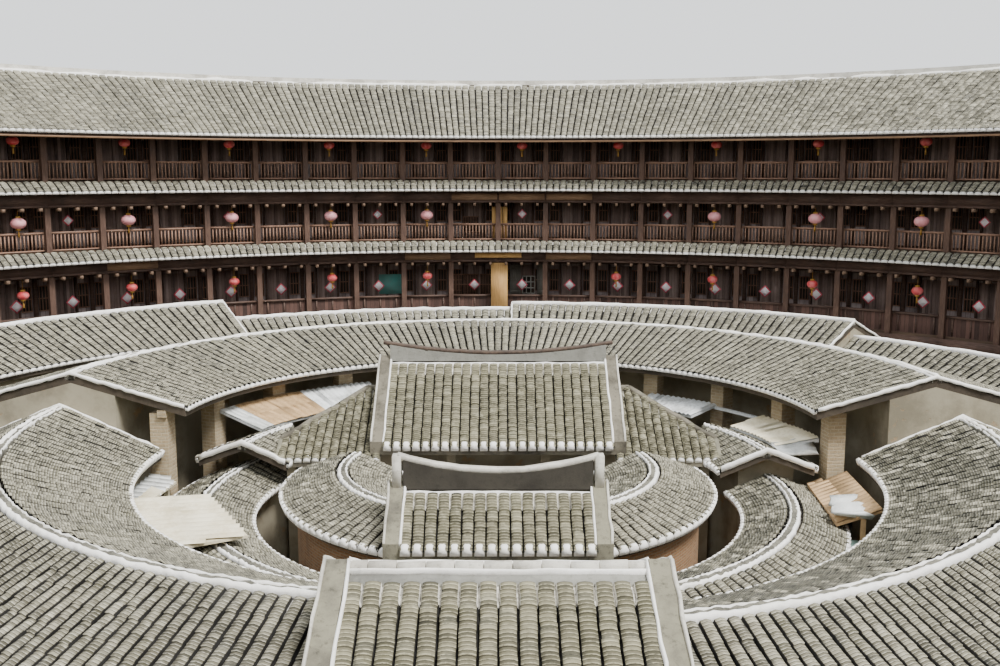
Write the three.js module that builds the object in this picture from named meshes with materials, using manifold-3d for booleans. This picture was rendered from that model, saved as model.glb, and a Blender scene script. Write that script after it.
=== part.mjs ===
// A round earth house of four storeys around a court with three rings of low buildings and a hall.
// The part is a 1:2 scale model. Sizes are written in metres of the real house and turned to
// millimetres of the model by M. Azimuth 0 is the back (+Y), 90 the right (+X), 180 the front gate.
import * as THREE from "three";
import { ConvexGeometry } from "three/addons/geometries/ConvexGeometry.js";
import { mergeVertices } from "three/addons/utils/BufferGeometryUtils.js";
import Module from "manifold-3d";

const wasm = await Module();
wasm.setup();

const MODEL_SCALE = 1 / 2;
const M = 1000 * MODEL_SCALE;
const GAP = 0.0008;

// Outer house
const BAYS = 72;
const BAY = 360 / BAYS;
const STOREY_2 = 3.62;
const STOREY_3 = 6.65;
const STOREY_4 = 9.2;
const WALL = { rOuter: 31.3, rOuterTop: 31.1, rInner: 29.85 };
const POST = { rInner: 22.75, rOuter: 22.95, width: 0.2, plate: 0.18 };
const FLOOR = { rInner: 22.97, thickness: 0.28 };
const RAIL = { rOuter: 23.04, height: 0.75 };
const FRONT = { rInner: 24.4, rOuter: 24.52, doorWidth: 0.85, doorHeight: 1.9 };
const WINDOW_3 = { width: 0.55, sill: 0.75, height: 0.75 };
const WINDOW_4 = { width: 0.75, sill: 0.7, height: 0.95 };
const GATE = { halfWidth: 1.15, height: 3.1, hallHalfWidth: 1.3, hallHeight: 3.4 };
const PENT = { rInner: 22.3, rOuter: POST.rInner - GAP, thickness: 0.1, slope: 0.6 };
const PENT_4_EAVE = 8.86;
const PENT_3_EAVE = 6.34;

// Roofs as gables swept round the court: eave, ridge, eave, and the thickness of the slab
const MAIN_ROOF = gable(21.7, 10.95, 27.3, 13.4, 33.0, 10.9, 0.22);
const MAIN_RIDGE = { halfWidth: 0.2, height: 0.22 };

// Ring C, the outermost low ring, in four stretches of their own heights
const RING_C = { rInner: 13.8, rRidge: 16.0, rOuter: 18.2, slope: 0.4, step: 7.5 };
const C_STEP = 1.8;
const C_FOOT = { half: 0.5, height: 2.5 };
const C_LEFT = { from: -180, to: -35, ridge: 5.2 };
const C_BACK_LEFT = { from: -35, to: C_STEP, ridge: 4.6 };
const C_BACK_RIGHT = { from: C_STEP, to: 45, ridge: 4.8 };
const C_RIGHT = { from: 45, to: 180, ridge: 4.3 };
const C_WALLS = { inner: [14.3, 14.5], outer: [17.6, 17.8], end: 0.8 };

// Ring B, the middle ring, higher behind the hall than at its sides
const B_BACK = gable(6.9, 4.4, 9.5, 5.1, 12.2, 4.35, 0.16);
const B_LEFT = gable(7.5, 3.4, 9.75, 4.35, 12.3, 3.3, 0.16);
const B_RIGHT = gable(7.9, 3.3, 10.1, 4.2, 12.4, 3.25, 0.16);
const B_WALLS = { inner: [8.5, 8.66], outer: [11.6, 11.85], end: 1.4 };
const B_LEFT_END = -84;
const B_RIGHT_END = 87;
const B_PIERS = { inner: 7.35, outer: 7.75, width: 0.4, plate: 0.16 };
const B_PIER_AZIMUTHS = [-82, -66, -50, -34, -18, 18, 34, 50, 66, 82];

// Ring A, the small inner ring
const A_BACK = gable(4.9, 3.02, 5.95, 3.42, 7.05, 3.0, 0.12);
const A_FRONT = gable(5.2, 2.42, 6.15, 2.78, 7.1, 2.4, 0.12);
const A_WALLS = { inner: [5.45, 5.57], outer: [6.65, 6.77], end: 1.4 };
const A_FRONT_WALLS = { inner: [5.46, 5.56], outer: [6.66, 6.76], end: 1.4, lap: 0.7 };
const A_WING_END = 57;
const A_FRONT_END = 170;
const A_DOORS = [96, 112, 128, 144];
const A_LEFT = { back: -77, front: -67 };
const A_RIGHT = { back: 84, front: 80 };

// The round core of the court, its gate hall, the main hall and its two wings
const CORE_ROOF = gable(2.3, 2.95, 3.3, 3.3, 4.5, 2.88, 0.12);
const CORE_WALL = [4.05, 4.25];
const CORE_FROM = 72;
const GATE_HALL = { halfWidth: 2.0, yFront: -4.45, yRidge: -3.3, yBack: -2.15, eave: 3.07, ridge: 3.85 };
const MAIN_HALL = { halfWidth: 2.9, yFront: 1.3, yRidge: 3.5, yBack: 5.7, eave: 3.4, ridge: 5.0 };
const WING = {
  xInner: 2.67,
  xRidge: 3.2,
  xOuter: 5.0,
  yFront: 1.2,
  yRidge: 3.55,
  eave: 3.1,
  ridge: 4.25,
  slab: 0.14,
};
const WING_SHOULDER = { y: 1.8, z: 3.39 };
const WING_BACK = [
  [5.0, 3.3],
  [4.2, 4.25],
  [2.67, 5.35],
];
const WING_WALL = {
  outside: [[2.6, 1.95], [4.65, 1.95], [4.65, 3.2], [3.95, 4.05], [2.6, 5.0]],
  inside: [[2.65, 2.1], [4.5, 2.1], [4.5, 3.15], [3.86, 3.93], [2.65, 4.79]],
  door: [3.25, 4.15, 2.0],
};
const WING_PILLAR = { x: 4.6, y: 1.35, width: 0.2, beam: 2.55 };
const HALL_WALL = { halfWidth: 2.65, thickness: 0.2, yFront: 1.95, yBack: 5.3 };
const PASSAGE = { halfWidth: 2.0, yFront: -12.9, yRidge: -10.4, yBack: -7.9, eave: 4.0, ridge: 5.05 };
const PASSAGE_CLEAR = 2.06;
const VERGE = { width: 0.28, height: 0.12 };
const HALL_SLAB = 0.18;
const SIDE_WALL = { halfWidth: 1.85, thickness: 0.2 };

// Sheet canopies over the alleys, with corners as radius, azimuth and height
const SHEET = { thickness: 0.05, prop: 0.1 };
const CANOPY_EDGE = B_PIERS.inner - GAP;
const CANOPY_BACK_LEFT = { inner: [6.15, 3.5], outer: [CANOPY_EDGE, 3.85], from: -66, to: -28.5 };
const CANOPY_BACK_RIGHT = {
  inner: [6.35, 3.46],
  outer: [CANOPY_EDGE, 3.6],
  stretches: [
    [34, 50],
    [62, 80],
  ],
  rail: 0.09,
};
const CANOPY_LEFT = {
  sheets: [
    [[7.5, -99.5, 2.98], [6.0, -99.5, 2.98], [5.7, -126.5, 2.98], [7.5, -125, 2.98]],
    [[7.75, -84.4, 2.9], [7.15, -84.4, 2.78], [7.15, -99.6, 2.96], [7.75, -99.6, 2.98]],
  ],
  props: [[7.3, -86, 2.8], [7.3, -101, 2.95], [7.3, -123, 2.95]],
};
const CANOPY_RIGHT = {
  sheets: [
    [[7.7, 86, 3.0], [6.95, 83, 2.64], [6.95, 105, 2.64], [7.8, 105, 3.0]],
    [[7.24, 105, 2.3], [8.2, 105, 2.3], [8.2, 122, 2.3], [7.24, 122, 2.3]],
  ],
  props: [[7.45, 87, 2.84], [7.45, 104.7, 2.82], [7.5, 121.2, 2.28]],
};

const EARTH = material(0xb9936a, 0.95);
const TIMBER = material(0x4a2c20, 0.75);
const BOARD = material(0x5a3626, 0.8);
const TILE = material(0x84817a, 0.9);
const BRICK = material(0xa8744f, 0.92);
const PLASTER = material(0xb8b3a6, 0.92);
const LIME = material(0xbdb8ac, 0.9);
const PLASTIC = material(0xd8cfb4, 0.5);

function material(color, roughness) {
  return new THREE.MeshStandardMaterial({ color, roughness, metalness: 0 });
}

// A gable section: its inner eave, ridge and outer eave as radius and height, and its thickness
function gable(rInner, zInner, rRidge, zRidge, rOuter, zOuter, thickness) {
  return { rInner, zInner, rRidge, zRidge, rOuter, zOuter, thickness };
}

function gableProfile(g) {
  const t = g.thickness;
  return [
    [g.rInner, g.zInner - t],
    [g.rRidge, g.zRidge - t],
    [g.rOuter, g.zOuter - t],
    [g.rOuter, g.zOuter],
    [g.rRidge, g.zRidge],
    [g.rInner, g.zInner],
  ];
}

// Height of a gable's upper face at radius r
function above(g, r) {
  const inner = (g.zRidge - g.zInner) / (g.rRidge - g.rInner);
  const outer = (g.zRidge - g.zOuter) / (g.rOuter - g.rRidge);
  return g.zRidge - (r < g.rRidge ? inner * (g.rRidge - r) : outer * (r - g.rRidge));
}

// Height of a gable's underside at radius r, less the gap that every touching piece keeps
function under(g, r) {
  return above(g, r) - g.thickness - GAP;
}

function ringWall(inner, outer, bottom, g) {
  return [
    [inner, bottom],
    [outer, bottom],
    [outer, under(g, outer)],
    [inner, under(g, inner)],
  ];
}

function ringBand(inner, outer, bottom, top) {
  return [
    [inner, bottom],
    [outer, bottom],
    [outer, top],
    [inner, top],
  ];
}

// The cross wall under a gable between two radii
function crossWall(inner, outer, g) {
  return [
    [inner, 0],
    [outer, 0],
    [outer, under(g, outer)],
    [g.rRidge, under(g, g.rRidge)],
    [inner, under(g, inner)],
  ];
}

function solid(geometry) {
  const bare = geometry.index ? geometry.toNonIndexed() : geometry.clone();
  bare.deleteAttribute("normal");
  bare.deleteAttribute("uv");
  const merged = mergeVertices(bare, 1e-4);
  return new wasm.Manifold(
    new wasm.Mesh({
      numProp: 3,
      vertProperties: merged.attributes.position.array,
      triVerts: new Uint32Array(merged.index.array),
    }),
  );
}

// The corners of the regular polygon that stands for the ring, with the two ends on its sides
function ringAngles(from, to, step) {
  const angles = [from];
  for (let a = Math.floor(from / step) * step + step; a < to - 1e-6; a += step) angles.push(a);
  angles.push(to);
  return angles;
}

function polygonFactor(angle, step) {
  const half = step / 2;
  const within = ((angle % step) + step) % step;
  const rad = THREE.MathUtils.degToRad;
  return Math.cos(rad(half)) / Math.cos(rad(within - half));
}

// A profile of radius and height, counter-clockwise, swept round the court from one azimuth to another
function sweep(profile, from, to, step = BAY) {
  const closed = to - from >= 360;
  const angles = ringAngles(from, to, step);
  if (closed) angles.pop();
  const corners = [];
  for (const angle of angles) {
    const a = THREE.MathUtils.degToRad(angle);
    const k = polygonFactor(angle, step) * M;
    for (const [r, z] of profile) corners.push([r * k * Math.sin(a), r * k * Math.cos(a), z * M]);
  }
  const n = profile.length;
  const faces = [];
  const spans = closed ? angles.length : angles.length - 1;
  for (let i = 0; i < spans; i++) {
    const here = i * n;
    const next = ((i + 1) % angles.length) * n;
    for (let j = 0; j < n; j++) {
      const k = (j + 1) % n;
      faces.push([here + j, here + k, next + j], [here + k, next + k, next + j]);
    }
  }
  if (!closed) {
    const outline = profile.map(([r, z]) => new THREE.Vector2(r, z));
    const last = (angles.length - 1) * n;
    for (const [a, b, c] of THREE.ShapeUtils.triangulateShape(outline, [])) {
      faces.push([a, c, b], [last + a, last + b, last + c]);
    }
  }
  const positions = faces.flatMap((face) => face.flatMap((corner) => corners[corner]));
  const geometry = new THREE.BufferGeometry();
  geometry.setAttribute("position", new THREE.Float32BufferAttribute(positions, 3));
  return solid(geometry);
}

function box(x0, x1, y0, y1, z0, z1) {
  const geometry = new THREE.BoxGeometry((x1 - x0) * M, (y1 - y0) * M, (z1 - z0) * M);
  geometry.translate(((x0 + x1) / 2) * M, ((y0 + y1) / 2) * M, ((z0 + z1) / 2) * M);
  return solid(geometry);
}

// A block that stands across the ring at an azimuth, between two radii
function block(azimuth, inner, outer, width, bottom, top) {
  const geometry = new THREE.BoxGeometry(width * M, (outer - inner) * M, (top - bottom) * M);
  geometry.translate(0, ((inner + outer) / 2) * M, ((bottom + top) / 2) * M);
  geometry.rotateZ(THREE.MathUtils.degToRad(-azimuth));
  return solid(geometry);
}

// An outline of y and z, drawn out along X
function prism(points, x0, x1) {
  const shape = new THREE.Shape(points.map(([y, z]) => new THREE.Vector2(y * M, z * M)));
  const geometry = new THREE.ExtrudeGeometry(shape, { depth: (x1 - x0) * M, bevelEnabled: false });
  geometry.applyMatrix4(new THREE.Matrix4().set(0, 0, 1, x0 * M, 1, 0, 0, 0, 0, 1, 0, 0, 0, 0, 0, 1));
  return solid(geometry);
}

// An outline of x and y, drawn up from one height to another
function upright(points, bottom, top) {
  const shape = new THREE.Shape(points.map(([x, y]) => new THREE.Vector2(x * M, y * M)));
  const geometry = new THREE.ExtrudeGeometry(shape, { depth: (top - bottom) * M, bevelEnabled: false });
  geometry.translate(0, 0, bottom * M);
  return solid(geometry);
}

function join(solids) {
  return solids.reduce((whole, next) => whole.add(next));
}

function cut(whole, solids) {
  return solids.reduce((left, next) => left.subtract(next), whole);
}

// Evenly spaced azimuths from one to another
function azimuths(from, to, step) {
  const list = [];
  for (let a = from; a <= to + 1e-6; a += step) list.push(a);
  return list;
}

const house = new THREE.Group();
house.name = "round_earth_house";

function piece(name, shape, finish) {
  const made = shape.getMesh();
  const geometry = new THREE.BufferGeometry();
  const stride = made.numProp;
  const positions = new Float32Array(made.numVert * 3);
  for (let i = 0; i < made.numVert; i++) {
    positions.set(made.vertProperties.subarray(i * stride, i * stride + 3), i * 3);
  }
  geometry.setAttribute("position", new THREE.BufferAttribute(positions, 3));
  geometry.setIndex(new THREE.BufferAttribute(made.triVerts, 1));
  geometry.computeVertexNormals();
  const mesh = new THREE.Mesh(geometry, finish);
  mesh.name = name;
  house.add(mesh);
}

// The degrees that keep the gap between two stretches of a ring of radius r
function seam(r) {
  return THREE.MathUtils.radToDeg(GAP / r);
}

// The tapered earth wall with its small windows on the third and fourth storeys
function outerWall() {
  const { rInner, rOuter, rOuterTop } = WALL;
  const profile = [
    [rInner, 0],
    [rOuter, 0],
    [rOuterTop, under(MAIN_ROOF, rOuterTop)],
    [rInner, under(MAIN_ROOF, rInner)],
  ];
  const hole = (azimuth, floor, w) =>
    block(azimuth, rInner - 1, rOuter + 1, w.width, floor + w.sill, floor + w.sill + w.height);
  const stretches = [
    ["outer_wall_back", -60, 60],
    ["outer_wall_right", 60, 180],
    ["outer_wall_left", 180, 300],
  ];
  const gateway = box(-GATE.halfWidth, GATE.halfWidth, -rOuter - 1, -rInner + 1, -1, 20);
  for (const [name, from, to] of stretches) {
    const first = from < 180 ? from + BAY / 2 : from + 1.5 * BAY;
    const bays = azimuths(first, to - BAY / 2, 2 * BAY);
    const holes = bays.flatMap((a) => [hole(a, STOREY_3, WINDOW_3), hole(a, STOREY_4, WINDOW_4)]);
    const stretch = cut(sweep(profile, from, to - seam(rInner)), holes);
    piece(name, stretch.subtract(gateway), EARTH);
  }
  const clear = GATE.halfWidth - GAP;
  const overGate = box(-clear, clear, -rOuter - 1, -rInner + 1, GATE.height, 20);
  piece("outer_wall_over_gate", sweep(profile, 175, 185).intersect(overGate), EARTH);
}

function floors() {
  const top = WALL.rInner - GAP;
  for (const [name, z] of [["floor_2", STOREY_2], ["floor_3", STOREY_3], ["floor_4", STOREY_4]]) {
    piece(name, sweep(ringBand(FLOOR.rInner, top, z - FLOOR.thickness, z), 0, 360), BOARD);
  }
}

// The timber room fronts of each storey, with a doorway in every third bay, or every sixth at ground level
function roomFronts() {
  const ceilings = [STOREY_2, STOREY_3, STOREY_4].map((z) => z - FLOOR.thickness - GAP);
  const levels = [
    ["room_fronts_1", 0, ceilings[0], 6],
    ["room_fronts_2", STOREY_2 + GAP, ceilings[1], 3],
    ["room_fronts_3", STOREY_3 + GAP, ceilings[2], 3],
    ["room_fronts_4", STOREY_4 + GAP, null, 3],
  ];
  const { rInner, rOuter, doorWidth, doorHeight } = FRONT;
  for (const [name, floor, ceiling, every] of levels) {
    const underRoof = ceiling === null;
    const profile = underRoof
      ? ringWall(rInner, rOuter, floor, MAIN_ROOF)
      : ringBand(rInner, rOuter, floor, ceiling);
    const doors = azimuths(BAY / 2, 360 - BAY / 2, every * BAY).map((a) =>
      block(a, rInner - 1, rOuter + 1, doorWidth, floor - 1, floor + doorHeight),
    );
    if (floor === 0) {
      const half = GATE.hallHalfWidth;
      doors.push(box(-half, half, -rOuter - 1, -rInner + 1, -1, GATE.hallHeight));
    }
    piece(name, cut(sweep(profile, 0, 360), doors), BOARD);
  }
}

// The posts of one quarter of the gallery, under the plate that carries the eave
function galleryPosts(name, from) {
  const { rInner, rOuter, width, plate } = POST;
  const top = under(MAIN_ROOF, rInner);
  const overhang = THREE.MathUtils.radToDeg(width / 2 / rInner);
  const start = from - overhang;
  const posts = azimuths(from, from + 90 - BAY, BAY).map((a) =>
    block(a, rInner, rOuter, width, a === 180 ? STOREY_2 : 0, top - plate / 2),
  );
  const band = sweep(ringBand(rInner, rOuter, top - plate, top), start, start + 90 - seam(rInner));
  piece(name, join([band, ...posts]), TIMBER);
}

function galleries() {
  galleryPosts("gallery_posts_back", -45);
  galleryPosts("gallery_posts_right", 45);
  galleryPosts("gallery_posts_front", 135);
  galleryPosts("gallery_posts_left", 225);
  for (const [name, z] of [["parapet_2", STOREY_2], ["railing_3", STOREY_3], ["railing_4", STOREY_4]]) {
    piece(name, sweep(ringBand(FLOOR.rInner, RAIL.rOuter, z + GAP, z + RAIL.height), 0, 360), TIMBER);
  }
  for (const [name, eave] of [["pent_roof_3", PENT_3_EAVE], ["pent_roof_4", PENT_4_EAVE]]) {
    const top = eave + PENT.slope * (PENT.rOuter - PENT.rInner);
    const profile = [
      [PENT.rInner, eave - PENT.thickness],
      [PENT.rOuter, top - PENT.thickness],
      [PENT.rOuter, top],
      [PENT.rInner, eave],
    ];
    piece(name, sweep(profile, 0, 360), TILE);
  }
}

// The two slopes of the great roof, each with its half of the ridge
function mainRoof() {
  const g = MAIN_ROOF;
  const { halfWidth, height } = MAIN_RIDGE;
  const crest = g.zRidge + height;
  const inner = [
    [g.rInner, g.zInner - g.thickness],
    [g.rRidge, g.zRidge - g.thickness],
    [g.rRidge, crest],
    [g.rRidge - halfWidth, crest],
    [g.rRidge - halfWidth, above(g, g.rRidge - halfWidth)],
    [g.rInner, g.zInner],
  ];
  const outer = [
    [g.rRidge + GAP, g.zRidge - g.thickness],
    [g.rOuter, g.zOuter - g.thickness],
    [g.rOuter, g.zOuter],
    [g.rRidge + halfWidth, above(g, g.rRidge + halfWidth)],
    [g.rRidge + halfWidth, crest],
    [g.rRidge + GAP, crest],
  ];
  piece("main_roof_inner", sweep(inner, 0, 360), TILE);
  piece("main_roof_outer", sweep(outer, 0, 360), TILE);
}

function ringCGable(stretch) {
  const fall = RING_C.slope * (RING_C.rRidge - RING_C.rInner);
  const eave = stretch.ridge - fall;
  return gable(RING_C.rInner, eave, RING_C.rRidge, stretch.ridge, RING_C.rOuter, eave, 0.16);
}

// Inner wall, outer wall and two end walls of one stretch of a ring, as one solid
function ringWalls(g, walls, from, to, step) {
  const sweepOf = (profile, a, b) => sweep(profile, a, b, step);
  return join([
    sweepOf(ringWall(walls.inner[0], walls.inner[1], 0, g), from, to),
    sweepOf(ringWall(walls.outer[0], walls.outer[1], 0, g), from, to),
    sweepOf(crossWall(walls.inner[0], walls.outer[1], g), from, from + walls.end),
    sweepOf(crossWall(walls.inner[0], walls.outer[1], g), to - walls.end, to),
  ]);
}

function doorways(list, inner, outer, width, height) {
  return list.map((a) => block(a, inner - 0.4, outer + 0.4, width, -1, height));
}

function ringC() {
  const { step } = RING_C;
  const gap = seam(RING_C.rInner);
  const stretches = [
    ["left", C_LEFT, azimuths(-161.25, -56.25, 15)],
    ["back_left", C_BACK_LEFT, [-26.25, -11.25]],
    ["back_right", C_BACK_RIGHT, [11.25, 26.25]],
    ["right", C_RIGHT, azimuths(56.25, 161.25, 15)],
  ];
  const way = box(-1.2, 1.2, -RING_C.rOuter, -RING_C.rInner, -1, 2.6);
  const walls = stretches.map(([name, stretch, doors]) => {
    const g = ringCGable(stretch);
    piece("ring_c_roof_" + name, sweep(gableProfile(g), stretch.from, stretch.to - gap, step), TILE);
    const inner = doorways(doors, C_WALLS.inner[0], C_WALLS.inner[1], 0.9, 2.0);
    const outer = doorways(doors, C_WALLS.outer[0], C_WALLS.outer[1], 0.9, 2.0);
    const whole = ringWalls(g, C_WALLS, stretch.from, stretch.to - gap, step);
    return cut(whole, [...inner, ...outer, way]);
  });
  const footBand = ringBand(C_WALLS.inner[0], C_WALLS.outer[1], 0, C_FOOT.height);
  const foot = sweep(footBand, C_STEP - C_FOOT.half, C_STEP + C_FOOT.half, step);
  piece("ring_c_walls_left", walls[0], PLASTER);
  piece("ring_c_walls_back", join([walls[1], walls[2], foot]), PLASTER);
  piece("ring_c_walls_right", walls[3], PLASTER);
}

function ringB() {
  const gap = seam(B_BACK.rInner);
  const passageSide = SIDE_WALL.halfWidth + GAP;
  const clear = box(-passageSide, passageSide, -20, 0, -1, 9);
  const stretches = [
    ["back", B_BACK, B_LEFT_END, B_RIGHT_END, [-74, -58, -42, -26, -8, 8, 26, 42, 58, 74]],
    ["left", B_LEFT, -175, B_LEFT_END - gap, [-153, -137, -121, -105]],
    ["right", B_RIGHT, B_RIGHT_END + gap, 175, [105, 121, 137, 153]],
  ];
  for (const [name, g, from, to, doors] of stretches) {
    piece("ring_b_roof_" + name, sweep(gableProfile(g), from, to).subtract(clear), TILE);
    const walls = ringWalls(g, B_WALLS, from, to, BAY).subtract(clear);
    const holes = doorways(doors, B_WALLS.inner[0], B_WALLS.inner[1], 1.0, 2.05);
    piece("ring_b_walls_" + name, cut(walls, holes), name === "right" ? BRICK : PLASTER);
  }
  const { inner, outer, width, plate } = B_PIERS;
  const top = under(B_BACK, inner);
  const piers = B_PIER_AZIMUTHS.map((a) => block(a, inner, outer, width, 0, top - plate / 2));
  const beam = sweep(ringBand(inner, outer - 0.2, top - plate, top), -84, 84);
  piece("ring_b_piers", join([beam, ...piers]), BRICK);
}

// Ring A's higher back roofs reach over the ends of its lower front roofs
function ringA() {
  const gap = seam(A_BACK.rInner);
  const { lap } = A_FRONT_WALLS;
  const clear = box(-PASSAGE_CLEAR, PASSAGE_CLEAR, -20, 0, -1, 9);
  const wings = box(-WING.xOuter - GAP, WING.xOuter + GAP, WING.yFront - GAP, 9, -1, 9);
  const sides = [
    {
      name: "left",
      side: -1,
      backRoof: [A_LEFT.back, -A_WING_END],
      frontRoof: [-A_FRONT_END, A_LEFT.front - gap],
      backWalls: [A_LEFT.front, -A_WING_END],
      frontWalls: [-A_FRONT_END, A_LEFT.front + lap],
    },
    {
      name: "right",
      side: 1,
      backRoof: [A_WING_END, A_RIGHT.back],
      frontRoof: [A_RIGHT.front + gap, A_FRONT_END],
      backWalls: [A_WING_END, A_RIGHT.front],
      frontWalls: [A_RIGHT.front - lap, A_FRONT_END],
    },
  ];
  for (const { name, side, backRoof, frontRoof, backWalls, frontWalls } of sides) {
    piece("ring_a_roof_back_" + name, cut(sweep(gableProfile(A_BACK), ...backRoof), [clear, wings]), TILE);
    piece("ring_a_roof_front_" + name, cut(sweep(gableProfile(A_FRONT), ...frontRoof), [clear, wings]), TILE);
    const walls = join([
      ringWalls(A_BACK, A_WALLS, ...backWalls, BAY),
      ringWalls(A_FRONT, A_FRONT_WALLS, ...frontWalls, BAY),
    ]);
    const holes = doorways(A_DOORS.map((a) => side * a), A_WALLS.inner[0], A_WALLS.inner[1], 0.75, 1.8);
    piece("ring_a_walls_" + name, cut(walls, [clear, wings, ...holes]), PLASTER);
  }
}

function core() {
  const clear = box(-GATE_HALL.halfWidth - GAP, GATE_HALL.halfWidth + GAP, -9, 0, -1, 9);
  const wings = box(-9, 9, WING.yFront - GAP, 9, -1, 9);
  const gateWall = box(0.05 - SIDE_WALL.halfWidth, SIDE_WALL.halfWidth - 0.05, -9, 0, -1, 9);
  const walls = [gateHallWalls()];
  for (const [name, from, to] of [["left", -175, -CORE_FROM], ["right", CORE_FROM, 175]]) {
    piece("core_roof_" + name, cut(sweep(gableProfile(CORE_ROOF), from, to), [clear, wings]), TILE);
    const wall = sweep(ringWall(CORE_WALL[0], CORE_WALL[1], 0, CORE_ROOF), from, to);
    walls.push(wall.subtract(gateWall));
  }
  piece("core_walls", join(walls), BRICK);
}

// A straight gable roof with its ridge along X and a raised band down each verge
function straightRoof(h) {
  const t = HALL_SLAB;
  const outline = (lift) => [
    [h.yFront, h.eave - t],
    [h.yRidge, h.ridge - t],
    [h.yBack, h.eave - t],
    [h.yBack, h.eave + lift],
    [h.yRidge, h.ridge + lift],
    [h.yFront, h.eave + lift],
  ];
  return join([
    prism(outline(0), -h.halfWidth, h.halfWidth),
    prism(outline(VERGE.height), -h.halfWidth, VERGE.width - h.halfWidth),
    prism(outline(VERGE.height), h.halfWidth - VERGE.width, h.halfWidth),
  ]);
}

// The underside of a straight gable roof at depth y
function underStraight(h, y) {
  const run = y < h.yRidge ? h.yRidge - h.yFront : h.yBack - h.yRidge;
  const fall = ((h.ridge - h.eave) * Math.abs(y - h.yRidge)) / run;
  return h.ridge - fall - HALL_SLAB - GAP;
}

// A side wall under a straight gable roof, from one depth to another
function sideWall(h, x0, x1, y0, y1) {
  const points = [
    [y0, 0],
    [y1, 0],
    [y1, underStraight(h, y1)],
    [h.yRidge, underStraight(h, h.yRidge)],
    [y0, underStraight(h, y0)],
  ];
  return prism(points, x0, x1);
}

// A ridge that rises in a curve to its two ends
function curvedRidge(h, inset, middle, ends, thickness) {
  const half = h.halfWidth - inset;
  const foot = h.ridge + GAP;
  const shape = new THREE.Shape();
  shape.moveTo(-half * M, foot * M);
  shape.lineTo(half * M, foot * M);
  shape.lineTo(half * M, (foot + ends) * M);
  shape.quadraticCurveTo(0, (foot + 2 * middle - ends) * M, -half * M, (foot + ends) * M);
  const settings = { depth: thickness * M, bevelEnabled: false, curveSegments: 12 };
  const geometry = new THREE.ExtrudeGeometry(shape, settings);
  geometry.rotateX(Math.PI / 2);
  geometry.translate(0, (h.yRidge + thickness / 2) * M, 0);
  return solid(geometry);
}

// The brick walls of the gate hall, which the core's round wall runs into
function gateHallWalls() {
  const wall = SIDE_WALL.halfWidth;
  const inside = wall - SIDE_WALL.thickness;
  const y = [GATE_HALL.yFront + 0.35, GATE_HALL.yBack - 0.25];
  const walls = join([
    sideWall(GATE_HALL, -wall, -inside, y[0], y[1]),
    sideWall(GATE_HALL, inside, wall, y[0], y[1]),
    box(-wall, wall, y[0], y[0] + 0.22, 0, underStraight(GATE_HALL, y[0])),
  ]);
  return walls.subtract(box(-0.75, 0.75, y[0] - 1, y[0] + 1, -1, 2.2));
}

function halls() {
  piece("gate_hall_roof", straightRoof(GATE_HALL), TILE);
  piece("gate_hall_ridge", curvedRidge(GATE_HALL, VERGE.width + GAP, 0.3, 0.55, 0.24), LIME);
  piece("main_hall_roof", straightRoof(MAIN_HALL), TILE);
  piece("main_hall_ridge", curvedRidge(MAIN_HALL, VERGE.width + GAP, 0.16, 0.4, 0.26), LIME);
  const { halfWidth, thickness, yFront, yBack } = HALL_WALL;
  const lintel = underStraight(MAIN_HALL, yFront);
  const mainHall = join([
    sideWall(MAIN_HALL, -halfWidth, thickness - halfWidth, yFront, yBack),
    sideWall(MAIN_HALL, halfWidth - thickness, halfWidth, yFront, yBack),
    box(-halfWidth, halfWidth, yBack - thickness, yBack, 0, underStraight(MAIN_HALL, yBack)),
    box(-halfWidth, halfWidth, yFront, yFront + thickness, lintel - 0.35, lintel),
    box(-1.2, -1.0, yFront, yFront + thickness, 0, lintel - 0.2),
    box(1.0, 1.2, yFront, yFront + thickness, 0, lintel - 0.2),
  ]);
  piece("main_hall_walls", join([mainHall, wingWalls(-1), wingWalls(1)]), PLASTER);
}

// The space below one wing's hipped roof from xInner outwards, lowered by drop and drawn down by depth
function belowWing(side, drop, depth, xInner = WING.xInner) {
  const w = WING;
  const eaves = [[xInner, w.yFront], [w.xOuter, w.yFront], ...WING_BACK, [xInner, WING_BACK.at(-1)[1]]];
  const tops = [
    [w.xOuter, WING_SHOULDER.y, WING_SHOULDER.z],
    [xInner, w.yRidge, w.ridge],
    [w.xRidge, w.yRidge, w.ridge],
  ];
  const corners = [...eaves.map(([x, y]) => [x, y, w.eave]), ...tops];
  const at = (fall) => corners.map(([x, y, z]) => new THREE.Vector3(side * x * M, y * M, (z - fall) * M));
  return solid(new ConvexGeometry([...at(drop), ...at(drop + depth)]));
}

// The walls and the corner pillar that carry one wing's roof, joined to the main hall's side wall
function wingWalls(side) {
  const mirror = (points) => points.map(([x, y]) => [side * x, y]);
  const span = (x0, x1, y0, y1, z0, z1) =>
    box(Math.min(side * x0, side * x1), Math.max(side * x0, side * x1), y0, y1, z0, z1);
  const { outside, inside, door } = WING_WALL;
  const front = outside[0][1];
  const doorway = span(door[0], door[1], front - 1, front + 1, -1, door[2]);
  const walls = cut(upright(mirror(outside), 0, 8), [upright(mirror(inside), -1, 9), doorway]);
  const p = WING_PILLAR;
  const pillar = span(p.x, p.x + p.width, p.y, p.y + p.width, 0, 8);
  const beam = span(p.x - p.width / 2, p.x + p.width, p.y, front + p.width / 2, p.beam, p.beam + p.width);
  return join([walls, pillar, beam]).intersect(belowWing(side, WING.slab + GAP, 5, outside[0][0]));
}

// A hipped roof over one wing, hollow below
function wing(name, side) {
  piece("wing_roof_" + name, belowWing(side, 0, 3).subtract(belowWing(side, WING.slab, 5)), TILE);
}

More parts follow.
